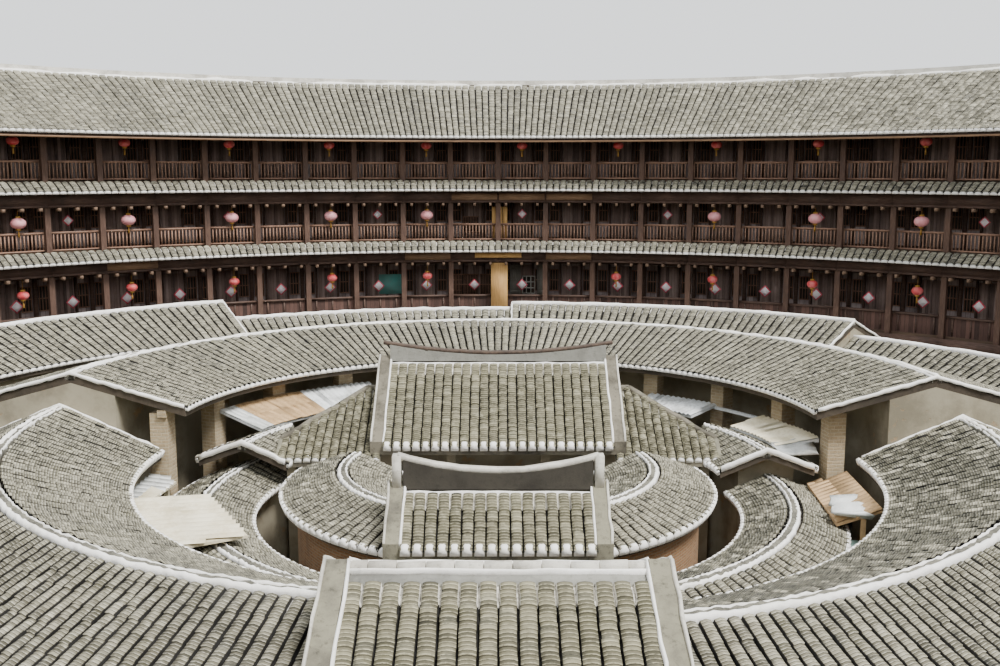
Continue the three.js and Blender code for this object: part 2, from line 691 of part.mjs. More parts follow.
function passage() {
  const wall = SIDE_WALL.halfWidth;
  const inside = wall - SIDE_WALL.thickness;
  const y = [PASSAGE.yFront + 0.4, PASSAGE.yBack - 0.4];
  piece("passage_roof", straightRoof(PASSAGE), TILE);
  const lintel = underStraight(PASSAGE, y[0]);
  const walls = join([
    sideWall(PASSAGE, -wall, -inside, y[0], y[1]),
    sideWall(PASSAGE, inside, wall, y[0], y[1]),
    box(-wall, wall, y[0], y[0] + 0.2, lintel - 0.6, lintel),
    box(-wall, wall, y[1] - 0.2, y[1], lintel - 0.6, lintel),
  ]);
  piece("passage_walls", walls, PLASTER);
}

// A flat sheet through its corners
function sheet(corners) {
  const points = corners.flatMap(([radius, azimuth, z]) => {
    const a = THREE.MathUtils.degToRad(azimuth);
    return [z, z - SHEET.thickness].map(
      (height) => new THREE.Vector3(radius * Math.sin(a) * M, radius * Math.cos(a) * M, height * M),
    );
  });
  return solid(new ConvexGeometry(points));
}

function sheetBand(inner, outer) {
  const t = SHEET.thickness;
  return [[inner[0], inner[1] - t], [outer[0], outer[1] - t], outer, inner];
}

// Lean-to sheets on props over the alleys round ring A
function canopies() {
  const half = SHEET.prop / 2;
  for (const [name, canopy] of [["canopy_left", CANOPY_LEFT], ["canopy_right", CANOPY_RIGHT]]) {
    const props = canopy.props.map(([r, azimuth, top]) => {
      return block(azimuth, r - half, r + half, SHEET.prop, 0, top);
    });
    piece(name, join([...canopy.sheets.map(sheet), ...props]), PLASTIC);
  }
  const left = CANOPY_BACK_LEFT;
  piece("canopy_back_left", sweep(sheetBand(left.inner, left.outer), left.from, left.to), PLASTIC);
  const right = CANOPY_BACK_RIGHT;
  const bands = right.stretches.map(([from, to]) => sweep(sheetBand(right.inner, right.outer), from, to));
  const [edge, height] = right.outer;
  const rail = ringBand(edge - right.rail, edge, height - right.rail, height - SHEET.thickness / 2);
  const ends = right.stretches.flat();
  piece("canopy_back_right", join([...bands, sweep(rail, ends[0], ends[ends.length - 1])]), PLASTIC);
}

outerWall();
floors();
roomFronts();
galleries();
mainRoof();
ringC();
ringB();
ringA();
core();
halls();
wing("left", -1);
wing("right", 1);
passage();
canopies();

export default house;
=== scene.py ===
"""Dresses the 1:2 model of a round earth house: tiles, mortar, timber galleries, walls, lanterns, stage."""

import math
from functools import partial

import bmesh
import bpy
import numpy as np
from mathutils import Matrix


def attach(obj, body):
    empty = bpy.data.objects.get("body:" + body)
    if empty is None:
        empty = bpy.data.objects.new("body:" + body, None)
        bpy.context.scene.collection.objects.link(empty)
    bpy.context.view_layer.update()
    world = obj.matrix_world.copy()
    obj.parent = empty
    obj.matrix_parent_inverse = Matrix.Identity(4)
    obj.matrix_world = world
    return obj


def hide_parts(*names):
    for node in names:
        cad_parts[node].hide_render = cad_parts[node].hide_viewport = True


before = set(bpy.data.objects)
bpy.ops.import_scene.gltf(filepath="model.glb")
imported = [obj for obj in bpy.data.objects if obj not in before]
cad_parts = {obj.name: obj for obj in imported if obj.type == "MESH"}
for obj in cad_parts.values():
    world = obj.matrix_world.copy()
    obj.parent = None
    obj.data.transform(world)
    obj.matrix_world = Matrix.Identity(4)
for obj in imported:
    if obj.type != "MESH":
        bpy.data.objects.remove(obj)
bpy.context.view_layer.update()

bl_info = {
    "name": "Round earth house",
    "version": (1, 0, 0),
    "blender": (4, 5, 0),
    "location": "View3D > Sidebar > Earth house",
    "description": "Tiles, timber, mortar and walls for the round earth house",
    "category": "Object",
}

# Sizes are in metres of the real house, and K turns them to metres of the 1:2 model
K = 0.5
BAYS = 72
BAY = 360 / BAYS
STOREYS = (0.0, 3.62, 6.65, 9.2)
TOP_BEAM = 11.7
RAIL_RADIUS = 23.0
BEAM_RADIUS = 22.7
FRONT_RADIUS = 24.4
LANTERN_RADIUS = 22.9
PAPER_RADIUS = 23.5
BACK_FACE = 24.3
WINDOW_RADIUS = 31.0
GATE_DEPTH = (-31.15, -30.85)
B_CUT = 1.88
A_CUT = 2.08
WING_EDGE = (5.0, 1.2)
STAGE_REACH = 400.0

# How much longer a modelled step of tile is on the great roof's outer slope, which is seen only from afar
OUTER_STEP = 3.9

# Azimuths of the posts, of the bays' middles and of three spots in each bay; then how near the middle of a
# straight bay comes, and how long it is, as shares of its radius
POSTS = np.arange(BAYS) * BAY
MIDDLES = POSTS + BAY / 2
THIRDS = np.arange(BAYS * 3) * BAY / 3 + BAY / 6
NEARNESS = math.cos(math.radians(BAY / 2))
CHORD = 2 * math.sin(math.radians(BAY / 2))


class Gable:
    """A ring roof's section: eave, ridge and eave as radius and height, and the azimuths of its two ends."""

    def __init__(self, inner, ridge, outer, start, end):
        self.inner, self.ridge, self.outer = inner, ridge, outer
        self.start, self.end = start, end

    def slope(self, side):
        """Radius and height of one eave, and how far the roof falls towards it over each metre."""
        r_low, z_low = self.inner if side == "inner" else self.outer
        return r_low, z_low, (self.ridge[1] - z_low) / abs(self.ridge[0] - r_low)


def ring_c_gable(height, start, end):
    """Ring C's roof at one ridge height: it falls 0.4 m in each metre, to eaves 2.2 m out on both sides."""
    fall = 0.4 * 2.2
    return Gable((13.8, height - fall), (16.0, height), (18.2, height - fall), start, end)


MAIN = Gable((21.7, 10.95), (27.3, 13.4), (33.0, 10.9), -180, 180)
RING_C = {
    "left": ring_c_gable(5.2, -180, -35),
    "back_left": ring_c_gable(4.6, -35, 1.8),
    "back_right": ring_c_gable(4.8, 1.8, 45),
    "right": ring_c_gable(4.3, 45, 180),
}
RING_C_VERGES = {"left": (-35, -180), "back_right": (1.8, 45)}
B_BACK = Gable((6.9, 4.4), (9.5, 5.1), (12.2, 4.35), -84, 87)
B_LEFT = Gable((7.5, 3.4), (9.75, 4.35), (12.3, 3.3), -175, -84)
B_RIGHT = Gable((7.9, 3.3), (10.1, 4.2), (12.4, 3.25), 87, 175)
A_BACK_LEFT = Gable((4.9, 3.02), (5.95, 3.42), (7.05, 3.0), -77, -57)
A_BACK_RIGHT = Gable((4.9, 3.02), (5.95, 3.42), (7.05, 3.0), 57, 84)
A_LEFT = Gable((5.2, 2.42), (6.15, 2.78), (7.1, 2.4), -170, -67)
A_RIGHT = Gable((5.2, 2.42), (6.15, 2.78), (7.1, 2.4), 80, 170)
CORE_LEFT = Gable((2.3, 2.95), (3.3, 3.3), (4.5, 2.88), -175, -72)
CORE_RIGHT = Gable((2.3, 2.95), (3.3, 3.3), (4.5, 2.88), 72, 175)
PENTS = {3: Gable((22.3, 6.34), (22.74, 6.604), (23.7, 6.0), -180, 180),
         4: Gable((22.3, 8.86), (22.74, 9.124), (23.7, 8.5), -180, 180)}

GATE_HALL = {"half": 2.0, "front": -4.45, "ridge_y": -3.3, "back": -2.15, "eave": 3.07, "ridge": 3.85}
MAIN_HALL = {"half": 2.9, "front": 1.3, "ridge_y": 3.5, "back": 5.7, "eave": 3.4, "ridge": 5.0}
PASSAGE = {"half": 2.0, "front": -12.9, "ridge_y": -10.4, "back": -7.9, "eave": 4.0, "ridge": 5.05}

# The raised verges of these straight roofs, and how unevenly beads of mortar are laid on them
VERGE_WIDTH = 0.28
VERGE_HEIGHT = 0.12
WOBBLE = 0.006

# Galleries: the face beams below each floor, boards replaced in paler wood, and the lanterns of each storey
BEAMS = {2: (3.1, 3.55), 3: (5.8, 6.3), 4: (8.27, 8.85)}
PALE_BEAM_BOARDS = ((-2.5, 8.38, 8.65), (2.5, 8.38, 8.65), (7.5, 8.38, 8.65),
                    (-7.5, 5.89, 6.22), (7.5, 5.89, 6.22), (-37.5, 5.89, 6.22))
LANTERNS = {
    4: (10.62, 0.9, "red paper", ()),
    3: (7.75, 1.15, "pink paper", (2.5, 12.5)),
    2: (5.2, 0.88, "red paper", (2.5,)),
}
BACK_LATTICES = ((-1.97, -1.56, 4.23, 5.11), (-1.49, -0.89, 4.23, 5.11), (-0.77, -0.35, 4.23, 5.11),
                 (-1.49, -0.87, 6.97, 7.62))

# Canopies: sheet corners as radius, azimuth and height, with the pitch and section of their ribs
WAVE = ((-0.5, 0.0), (-0.25, 0.02), (0.0, 0.035), (0.25, 0.02), (0.5, 0.0))
PLANK = ((-0.5, 0.0), (-0.48, 0.02), (0.48, 0.02), (0.5, 0.0))
FLAT_SHEETS = {
    "canopy_left": (
        (((7.5, -99.5, 2.98), (6.0, -99.5, 2.98), (5.7, -126.5, 2.98), (7.5, -125, 2.98)),
         0.24, WAVE, "cream sheet"),
        (((7.75, -84.4, 2.9), (7.15, -84.4, 2.78), (7.15, -99.6, 2.96), (7.75, -99.6, 2.98)),
         0.3, PLANK, "white plastic"),
    ),
    "canopy_right": (
        (((7.7, 86, 3.0), (6.95, 83, 2.64), (6.95, 105, 2.64), (7.8, 105, 3.0)), 0.2, PLANK, "tan plank"),
        (((7.24, 105, 2.3), (8.2, 105, 2.3), (8.2, 122, 2.3), (7.24, 122, 2.3)), 0.5, PLANK, "green glass"),
    ),
}
LOOSE_PLASTIC = {
    "loose_plastic_back_right": (78.5, 82.5, 6.3, 7.2, 3.5, 3.3),
    "loose_plastic_right": (97, 106, 6.9, 7.6, 2.86, 2.84),
}

# The photograph's view: a pinhole at a gallery rail, with its focal length in pixels of a 1000-wide picture
EYE = (0.0, -22.0, 9.55)
FOCAL_PIXELS = 1060.0
PICTURE_WIDTH = 1000
PITCH = 8.65
YAW = 0.1
SENSOR = 36.0


# Millimetres in a metre: a noise scale of MM / size gives blotches of about that size on the model
MM = 1000

# One lift of rammed earth on the model, how far grain is drawn out, and the colour of lime that beds tiles
LIFT = 0.38 * K
GRAIN_STRETCH = 0.06
BEDDING = "#dedad0"

# Settings that every node of these kinds has here
USUAL = {"MapRange": {"interpolation_type": "SMOOTHSTEP"}, "Mix": {"data_type": "RGBA"}}


def linear(hex_colour):
    """An sRGB hex colour as linear red, green, blue and alpha."""
    parts = [int(hex_colour[i : i + 2], 16) / 255 for i in (1, 3, 5)]
    return tuple(c / 12.92 if c <= 0.04045 else ((c + 0.055) / 1.055) ** 2.4 for c in parts) + (1.0,)


def add_node(tree, kind, *values, inputs=None, stops=(), **settings):
    """Adds a shader node with its settings and gives its first output. Values go to its inputs in order, and
    inputs by name: a socket is linked and a hex colour made linear. Stops are those of a colour ramp."""
    made = tree.nodes.new("ShaderNode" + kind)
    for key, value in {**USUAL.get(kind, {}), **settings}.items():
        setattr(made, key, value)
    pairs = list(zip([socket for socket in made.inputs if socket.enabled], values))
    pairs += [(made.inputs[key], value) for key, value in (inputs or {}).items()]
    for socket, value in pairs:
        if isinstance(value, bpy.types.NodeSocket):
            tree.links.new(value, socket)
        else:
            socket.default_value = linear(value) if isinstance(value, str) else value
    for index, (position, colour) in enumerate(stops):
        band = made.color_ramp.elements
        element = band[index] if index < len(band) else band.new(position)
        element.position, element.color = position, linear(colour)
    return next((socket for socket in made.outputs if socket.enabled), None)


def weigh(add, *terms):
    """The sum of (value, weight) terms."""
    total = 0.0
    for value, weight in terms:
        total = add("Math", value, weight, total, operation="MULTIPLY_ADD")
    return total


def layers(add, colour, *covers):
    """A colour under (share, colour) layers, laid one on another."""
    for share, over in covers:
        colour = add("Mix", share, colour, over)
    return colour


def toss(add, *axes):
    """A random value for each whole step along the axes."""
    return add("TexWhiteNoise", add("CombineXYZ", *[add("Math", axis, operation="FLOOR") for axis in axes]))


def off_middle(add, value):
    """How far value lies from the middle of its whole step, from 0 to 0.5."""
    shifted = add("Math", add("Math", value, operation="FRACT"), 0.5, operation="SUBTRACT")
    return add("Math", shifted, operation="ABSOLUTE")


def round_coordinates(add, place):
    """Coordinates round the court: angle in radians, radius and height."""
    x, y, height = add("SeparateXYZ", place).node.outputs
    angle = add("Math", x, y, operation="ARCTAN2")
    return angle, add("Math", weigh(add, (x, x), (y, y)), operation="SQRT"), height


# Each function below paints one kind of finish at a place. It gives a colour and a roughness, and where the
# finish has relief, the relief with its depth in millimetres and its strength


def fired_tile(add, place, tones, edge, shade_and_grime, moss, mortar_rows, laps, flank, lap_shade):
    """Wood-fired clay tile, pressed thin and stacked: dull, no two alike, each lower edge worn pale and given
    a painted highlight. Painted shade darkens the top of each tile, under the tile that laps over it, and
    with grime darkens the sides of each column. The first rows below the ridge are bedded in lime, which
    fills the valleys between columns. laps is how many tiles overlap in one modelled step, flank where the
    painted shade and grime of a column's side begin, lap_shade how dark the painted shade under a lap is."""
    u, steps, _ = add("SeparateXYZ", add("UVMap")).node.outputs
    v = add("Math", steps, laps, operation="MULTIPLY")
    column = toss(add, u)
    blotch, fine = add("TexNoise", place, MM / 900, 5.0, 0.6), add("TexNoise", place, MM / 35, 5.0, 0.65)
    tone = weigh(add, (toss(add, u, v), 0.34), (blotch, 0.34), (column, 0.14), (fine, 0.22))
    colour = add("ValToRGB", tone, stops=tuple(zip((0.25, 0.45, 0.62, 0.85), tones)))
    green = add("MapRange", add("TexNoise", place, MM / 300, 6.0, 0.7), 0.5, 0.7, 0.0, 0.6)
    lap, side = add("Math", v, operation="FRACT"), off_middle(add, u)
    rubbed = add("MapRange", fine, 0.35, 0.6, 0.2, 0.85)
    # pale lower edge of each lap: wear that the noise makes uneven, plus a painted highlight
    lip_wear_and_highlight = add("Math", add("MapRange", lap, 0.62, 0.85), rubbed, operation="MULTIPLY")
    # painted shade at the top of each tile, under the lap above it
    lap_shadow = add("MapRange", lap, 0.08, 0.3, lap_shade, 0.0)
    # painted shade, with grime, that darkens the sides of each column and the grooves between columns
    groove_shade_and_grime = add("MapRange", side, flank, flank + 0.03)
    filled = add("MapRange", fine, 0.3, 0.5, 0.3, 1.0)
    bed = add("Math", add("MapRange", side, 0.41, 0.44), filled, operation="MULTIPLY")
    reach = weigh(add, (v, 1.0), (fine, 0.8), (column, -1.4))
    near_ridge = add("MapRange", reach, mortar_rows - 0.4, mortar_rows - 0.2, 1.0, 0.0)
    bedded = add("Math", bed, near_ridge, operation="MULTIPLY")
    # worn here carries the moss and also the painted highlight on the lower edges
    worn = layers(add, colour, (green, moss), (lip_wear_and_highlight, edge))
    colour = layers(add, worn, (lap_shadow, shade_and_grime), (groove_shade_and_grime, shade_and_grime), (bedded, BEDDING))
    return colour, 0.9, weigh(add, (fine, 0.4), (lap, 1.0)), 6.0, 0.8


def ridge_tile(add, place, light, dark):
    """The same clay laid over a ridge, too small in the picture for its laps: only its blotches show."""
    blotch, fine = add("TexNoise", place, MM / 240, 5.0, 0.6), add("TexNoise", place, MM / 40, 6.0, 0.7)
    burnt = add("MapRange", weigh(add, (blotch, 0.5), (fine, 0.5)), 0.38, 0.62)
    return add("Mix", burnt, light, dark), 0.9, fine, 3.0, 0.7


def trowelled_lime(add, place, clean, stained, dark, stain):
    """Lime mortar, trowelled on by hand: chalky, washed grey and black by rain."""
    broad, fine = add("TexNoise", place, MM / 420, 6.0, 0.65), add("TexNoise", place, MM / 45, 6.0, 0.7)
    wash = add("MapRange", broad, 0.42, 0.68, 0.0, stain + 0.3)
    specks = add("MapRange", fine, 0.5, 0.75, 0.0, stain)
    return layers(add, clean, (wash, stained), (specks, dark)), 0.92, fine, 6.0, 0.8


def capped_sheathing(add, place, boards, lime, crest):
    """Smoke-dark sheathing boards below a roof, and above the crest height the lime that caps its ridge."""
    height = add("SeparateXYZ", place).node.outputs["Z"]
    fine, broad = add("TexNoise", place, MM / 45, 6.0, 0.7), add("TexNoise", place, MM / 420, 6.0, 0.65)
    wood = add("Mix", add("MapRange", fine, 0.35, 0.7), *boards)
    cap = add("Mix", add("MapRange", broad, 0.42, 0.68), *lime)
    return add("Mix", add("MapRange", height, crest * K - 0.004, crest * K), wood, cap), 0.9, fine, 5.0, 0.7


def planed_fir(add, place, light, mid, dark, upright=True, grain_mm=9):
    """Planed fir, oiled by smoke and hands and greyed by weather, with its grain along the length."""
    angle, radius, height = round_coordinates(add, place)
    across, up = (1.0, GRAIN_STRETCH) if upright else (GRAIN_STRETCH, 1.0)
    arc = add("Math", angle, FRONT_RADIUS * K * across, operation="MULTIPLY")
    length = add("CombineXYZ", arc, radius, add("Math", height, up, operation="MULTIPLY"))
    grain = add("TexNoise", length, MM / grain_mm, 4.0, 0.6)
    patch = add("TexNoise", place, MM / 500, 4.0, 0.6)
    tone = weigh(add, (grain, 0.6), (patch, 0.4))
    colour = add("ValToRGB", tone, stops=((0.3, dark), (0.5, mid), (0.72, light)))
    return colour, add("MapRange", patch, 0.3, 0.7, 0.62, 0.85), grain, 1.2, 0.6


def fir_boards(add, place, light, mid, dark, board_mm, radius):
    """Upright fir boards edge to edge: each board has its own tone, with a dark joint between."""
    angle, flat, height = round_coordinates(add, place)
    boards = add("Math", angle, radius * K * MM / board_mm, operation="MULTIPLY")
    length = add("CombineXYZ", boards, flat, add("Math", height, 1.5, operation="MULTIPLY"))
    grain = add("TexNoise", length, 6.0, 5.0)
    stain = add("TexNoise", place, MM / 600, 5.0, 0.65)
    tone = weigh(add, (toss(add, boards), 0.35), (grain, 0.35), (stain, 0.3))
    colour = add("ValToRGB", tone, stops=((0.25, dark), (0.5, mid), (0.8, light)))
    joint = add("MapRange", off_middle(add, boards), 0.44, 0.49)
    return add("Mix", joint, colour, dark), 0.8, add("Math", grain, joint, operation="SUBTRACT"), 3.0, 0.7


def rammed_earth(add, place):
    """Rammed earth, beaten in lifts between boards: sandy, banded, streaked and pitted by rain."""
    angle, _, height = round_coordinates(add, place)
    level = weigh(add, (height, 1 / LIFT), (add("TexNoise", place, MM / 900, 3.0, 0.5), 0.5))
    run = [add("Math", axis, times, operation="MULTIPLY") for axis, times in ((angle, 90.0), (height, 0.7))]
    streak = add("TexNoise", add("CombineXYZ", *run), 1.0, 6.0)
    broad, fine = add("TexNoise", place, MM / 2600, 5.0, 0.6), add("TexNoise", place, MM / 60, 7.0, 0.7)
    tone = weigh(add, (toss(add, level), 0.14), (broad, 0.46), (fine, 0.4))
    stops = ((0.3, "#836446"), (0.5, "#a98560"), (0.66, "#bd9c76"), (0.8, "#cbb293"))
    edge = add("MapRange", off_middle(add, level), 0.46, 0.5)
    seam = add("Math", edge, add("MapRange", fine, 0.4, 0.6, 0.2, 0.8), operation="MULTIPLY")
    washed = add("MapRange", streak, 0.55, 0.75, 0.0, 0.55)
    foot = add("MapRange", height, 0.2, 1.1, 0.55, 0.0)
    bare = add("ValToRGB", tone, stops=stops)
    colour = layers(add, bare, (washed, "#7d6a54"), (seam, "#7a5b3e"), (foot, "#7f7466"))
    return colour, 0.95, weigh(add, (fine, 1.0), (seam, -0.6)), 14.0, 0.8


def laid_brick(add, place, tones, joint, brick_length=0.3, course=0.1):
    """Earth brick, sun-dried or fired, in courses round the court; sizes are metres of the real house."""
    angle, radius, height = round_coordinates(add, place)
    face = add("CombineXYZ", add("Math", angle, radius, operation="MULTIPLY"), height)
    joints = {"Mortar": joint, "Mortar Size": 0.006, "Mortar Smooth": 0.3}
    sizes = {"Scale": 1.0, "Brick Width": brick_length * K, "Row Height": course * K}
    bricks = add("TexBrick", face, *tones[:2], inputs={**joints, **sizes}).node.outputs
    fine, stain = add("TexNoise", place, MM / 30, 5.0, 0.65), add("TexNoise", place, MM / 420, 5.0, 0.65)
    worn, dirty = add("MapRange", fine, 0.35, 0.7, 0.0, 0.5), add("MapRange", stain, 0.5, 0.72, 0.0, 0.6)
    colour = layers(add, bricks["Color"], (worn, tones[2]), (dirty, "#6d5a48"))
    return colour, 0.93, add("Math", fine, bricks["Fac"], operation="SUBTRACT"), 6.0, 0.8


def floated_plaster(add, place, clean, worn, damp):
    """Lime plaster floated thin over earth brick: mottled, damp at the foot, flaked to earth in patches."""
    height = add("SeparateXYZ", place).node.outputs["Z"]
    broad, fine = add("TexNoise", place, MM / 650, 6.0, 0.65), add("TexNoise", place, MM / 40, 6.0, 0.7)
    flaked = add("MapRange", add("TexNoise", place, MM / 330, 7.0, 0.7), 0.6, 0.64)
    wet = add("Math", add("MapRange", height, 0.05, 0.6, 1.0, 0.0), 0.7, operation="MULTIPLY")
    colour = layers(add, clean, (add("MapRange", broad, 0.4, 0.65), worn), (flaked, "#9b8567"), (wet, damp))
    return colour, 0.9, add("Math", fine, flaked, operation="SUBTRACT"), 4.0, 0.6


def dyed_paper(add, place, colour, rib):
    """Dyed paper or gilt card, stretched flat or over bamboo ribs: matt and faded in patches."""
    fade = add("TexNoise", place, MM / 90, 3.0, 0.5)
    return add("Mix", add("MapRange", fade, 0.35, 0.7, 0.0, 0.5), colour, rib), 0.6, fade, 0.8, 0.3


def weathered_sheet(add, place, clean, grime, roughness=0.45):
    """Moulded plastic, painted board or glass left out in the weather: streaked and spotted with dust."""
    broad, fine = add("TexNoise", place, MM / 300, 5.0, 0.6), add("TexNoise", place, MM / 30, 5.0, 0.6)
    dust = add("MapRange", weigh(add, (broad, 0.7), (fine, 0.3)), 0.4, 0.65, 0.0, 0.85)
    return add("Mix", dust, clean, grime), roughness, fine, 1.0, 0.4


def rolled_paint(add, place):
    """Matt paint rolled on a studio floor: pale, with hardly any cloudiness."""
    return add("Mix", add("TexNoise", place, MM / 900, 3.0, 0.5), "#dddcd8", "#e3e2de"), 0.8


GREY_TILE = ("#403e34", "#6c6858", "#928d79", "#beb8a2")
OLIVE_TILE = ("#403e31", "#696552", "#86816a", "#aba58b")

# Each look's material name, its painter and the painter's settings; one in plain words stands in HouseSizes
LOOKS = {
    # In the tile looks, the pale colour after the tones is wear plus a painted highlight on each lap's lower
    # edge, and the near-black one after it is painted shade under the laps and, with grime, in the grooves
    "far tile": ("grey clay tile, wood-fired", fired_tile, GREY_TILE, "#c9c4b3", "#12100d", "#65624c",
                 3.3, 3, 0.37, 0.75),
    "outer tile": ("grey clay tile, rain-washed", fired_tile, GREY_TILE, "#c9c4b3", "#12100d", "#65624c",
                   3.3, 12, 0.37, 0.75),
    "ring tile": ("grey clay tile, wood-fired and mossy", fired_tile, GREY_TILE, "#cbc6b4", "#12100c",
                  "#64614b", 4.5, 3, 0.355, 0.7),
    "near tile": ("grey clay tile, wood-fired and worn", fired_tile, GREY_TILE, "#c6c1af", "#13110d",
                  "#636049", 6.0, 4, 0.36, 0.72),
    "inner tile": ("grey clay tile, small and worn", fired_tile, GREY_TILE, "#c4bfad", "#14120e", "#636049",
                   5.0, 2, 0.37, 0.7),
    "hall tile": ("olive clay tile, hand-pressed", fired_tile, OLIVE_TILE, "#bab498", "#16140f", "#5f5c43",
                  5.5, 2, 0.415, 0.55),
    "near tile plain": ("ridge tile, grey clay", ridge_tile, "#7b786b", "#45433b"),
    "brown tile": ("ridge tile, brown clay", ridge_tile, "#5a4a3e", "#392e27"),
    "lime": ("lime mortar, trowelled", trowelled_lime, "mortar_colour", "#e4e0d6", "#a29e93", 0.3),
    "verge lime": ("lime verge, weathered grey", trowelled_lime, "#86826f", "#635f53", "#38352d", 0.75),
    "rough lime": ("lime mortar, rough and lichened", trowelled_lime, "#7b7566", "#524d42", "#2b2822", 0.8),
    "cap lime": ("lime cap, rain-streaked", trowelled_lime, "#d5d1c5", "#a8a398", "#6b675d", 0.6),
    # dark boards, darkened further as painted shade: the slab edges stand for the shadow under the eaves'
    # white lines
    "sheathing": ("roof sheathing, smoke-dark", trowelled_lime, "#4d4438", "#3a332a", "#211c17", 0.7),
    "dark band": ("ridge band, soot-dark plaster", trowelled_lime, "#454139", "#35312b", "#221f1b", 0.6),
    "grey band": ("ridge band, grey plaster", trowelled_lime, "#95948c", "#7b7a73", "#54534d", 0.5),
    "great slab": ("roof sheathing under a lime ridge", capped_sheathing, ("#3d2d23", "#251a14"),
                   ("#e6e2d8", "#bdb8ad"), 13.43),
    "post": ("fir post, weathered grey-brown", planed_fir, "#7d6556", "#573f33", "#31241c"),
    "rail": ("fir rail, weathered red-brown", planed_fir, "#b8937b", "#91705d", "#5c4236", False),
    "beam": ("fir beam, smoke-dark", planed_fir, "#755d50", "#543f35", "#30231d", False),
    "joist end": ("fir joist, weathered end grain", planed_fir, "#a58b74", "#7b6350", "#4c3a2e", False, 14),
    "pale board": ("fir board, newer", planed_fir, "#a98a6c", "#8a6b50", "#604735", False, 12),
    "grey board": ("fir board, greyed", planed_fir, "#a9a59b", "#8b877e", "#65615a", True, 12),
    "lattice": ("fir lattice, red-brown", planed_fir, "#b08c78", "#8c6a57", "#5a4436"),
    "pine": ("new pine, fresh planed", planed_fir, "#e0b878", "#cda062", "#a47a46", True, 14),
    "floor boards": ("fir floorboards, worn", planed_fir, "#7a6351", "#5a4738", "#362a21", False, 30),
    "door boards": ("fir door boards, smoke-dark", fir_boards, "#bba59b", "#978179", "#5c4d48",
                    60, FRONT_RADIUS),
    "front boards": ("fir boards, smoke-dark", fir_boards, "#b7a7a1", "#928280", "#574b48", 95, FRONT_RADIUS),
    "parapet boards": ("fir boards, weathered", fir_boards, "#72544a", "#523a32", "#2c1f1a", 80, RAIL_RADIUS),
    # painted shade: a dark pane set behind lattices and bars where the rooms lie in shade
    "window dark": ("paper pane, sooted", weathered_sheet, "#2b241f", "#3d342d", 0.6),
    "white paint": ("window bar, white paint", weathered_sheet, "#d9d7cf", "#b3b0a6", 0.6),
    "turquoise": ("painted board, faded turquoise", weathered_sheet, "panel_colour", "#7fa79f", 0.6),
    "earth": ("rammed earth, beaten in lifts", rammed_earth),
    "brick": ("earth brick, sun-dried", laid_brick, ("#a9713f", "#8e5e38", "#c08a55"), "#b5a48a"),
    "core brick": ("fired brick, worn and thin", laid_brick, ("#9c7350", "#845d3f", "#b08a62"), "#90816a",
                   0.24, 0.06),
    "pier brick": ("brick pier, limewashed", laid_brick, ("#b09d7e", "#a08c6d", "#bfae8f"), "#b3a78f",
                   0.26, 0.08),
    "plaster": ("lime plaster, floated", floated_plaster, "#a59d88", "#857d6a", "#5d5748"),
    "red paper": ("red lantern paper", dyed_paper, "lantern_colour", "#f2a09c"),
    "pink paper": ("faded lantern paper", dyed_paper, "#f0aeb2", "#e07d86"),
    "square paper": ("red paper, sun-faded", dyed_paper, "#e8596b", "#f08a9a"),
    "pale paper": ("red paper, bleached almost white", dyed_paper, "#fffafa", "#ffd9e6"),
    "gilt": ("gilt card", dyed_paper, "#b98a3c", "#8f6a2c"),
    "grey sheet": ("corrugated sheet, weathered", weathered_sheet, "#e4e7e8", "#a9aaa6"),
    "cream sheet": ("corrugated sheet, cream", weathered_sheet, "#ece3c8", "#c7ba98"),
    "tan plank": ("plank, sun-bleached", weathered_sheet, "#cdaa7e", "#a1835c", 0.8),
    "white plastic": ("loose film, crumpled", weathered_sheet, "#e4e6e3", "#b4b6b1", 0.35),
    "green glass": ("pane, pale green", weathered_sheet, "#a9c4bc", "#85a099", 0.15),
    "floor": ("studio floor, rolled matt paint", rolled_paint),
}
MATERIALS = {}


def finish(look):
    """The material of a look, made once."""
    if look in MATERIALS:
        return MATERIALS[look]
    name, painter, *settings = LOOKS[look]
    house = bpy.context.scene.house_sizes
    settings = [getattr(house, s) if isinstance(s, str) and not s.startswith("#") else s for s in settings]
    made = bpy.data.materials.new(name)
    made.use_nodes = True
    made.node_tree.nodes.clear()
    add = partial(add_node, made.node_tree)
    colour, roughness, *relief = painter(add, add("TexCoord").node.outputs["Object"], *settings)
    inputs = {"Base Color": colour, "Roughness": roughness}
    if relief:
        height, depth_mm, strength = relief
        bump = add("Bump", inputs={"Height": height, "Distance": depth_mm / MM, "Strength": strength})
        inputs["Normal"] = bump
    add("OutputMaterial", add("BsdfPrincipled", inputs=inputs))
    MATERIALS[look] = made
    return made


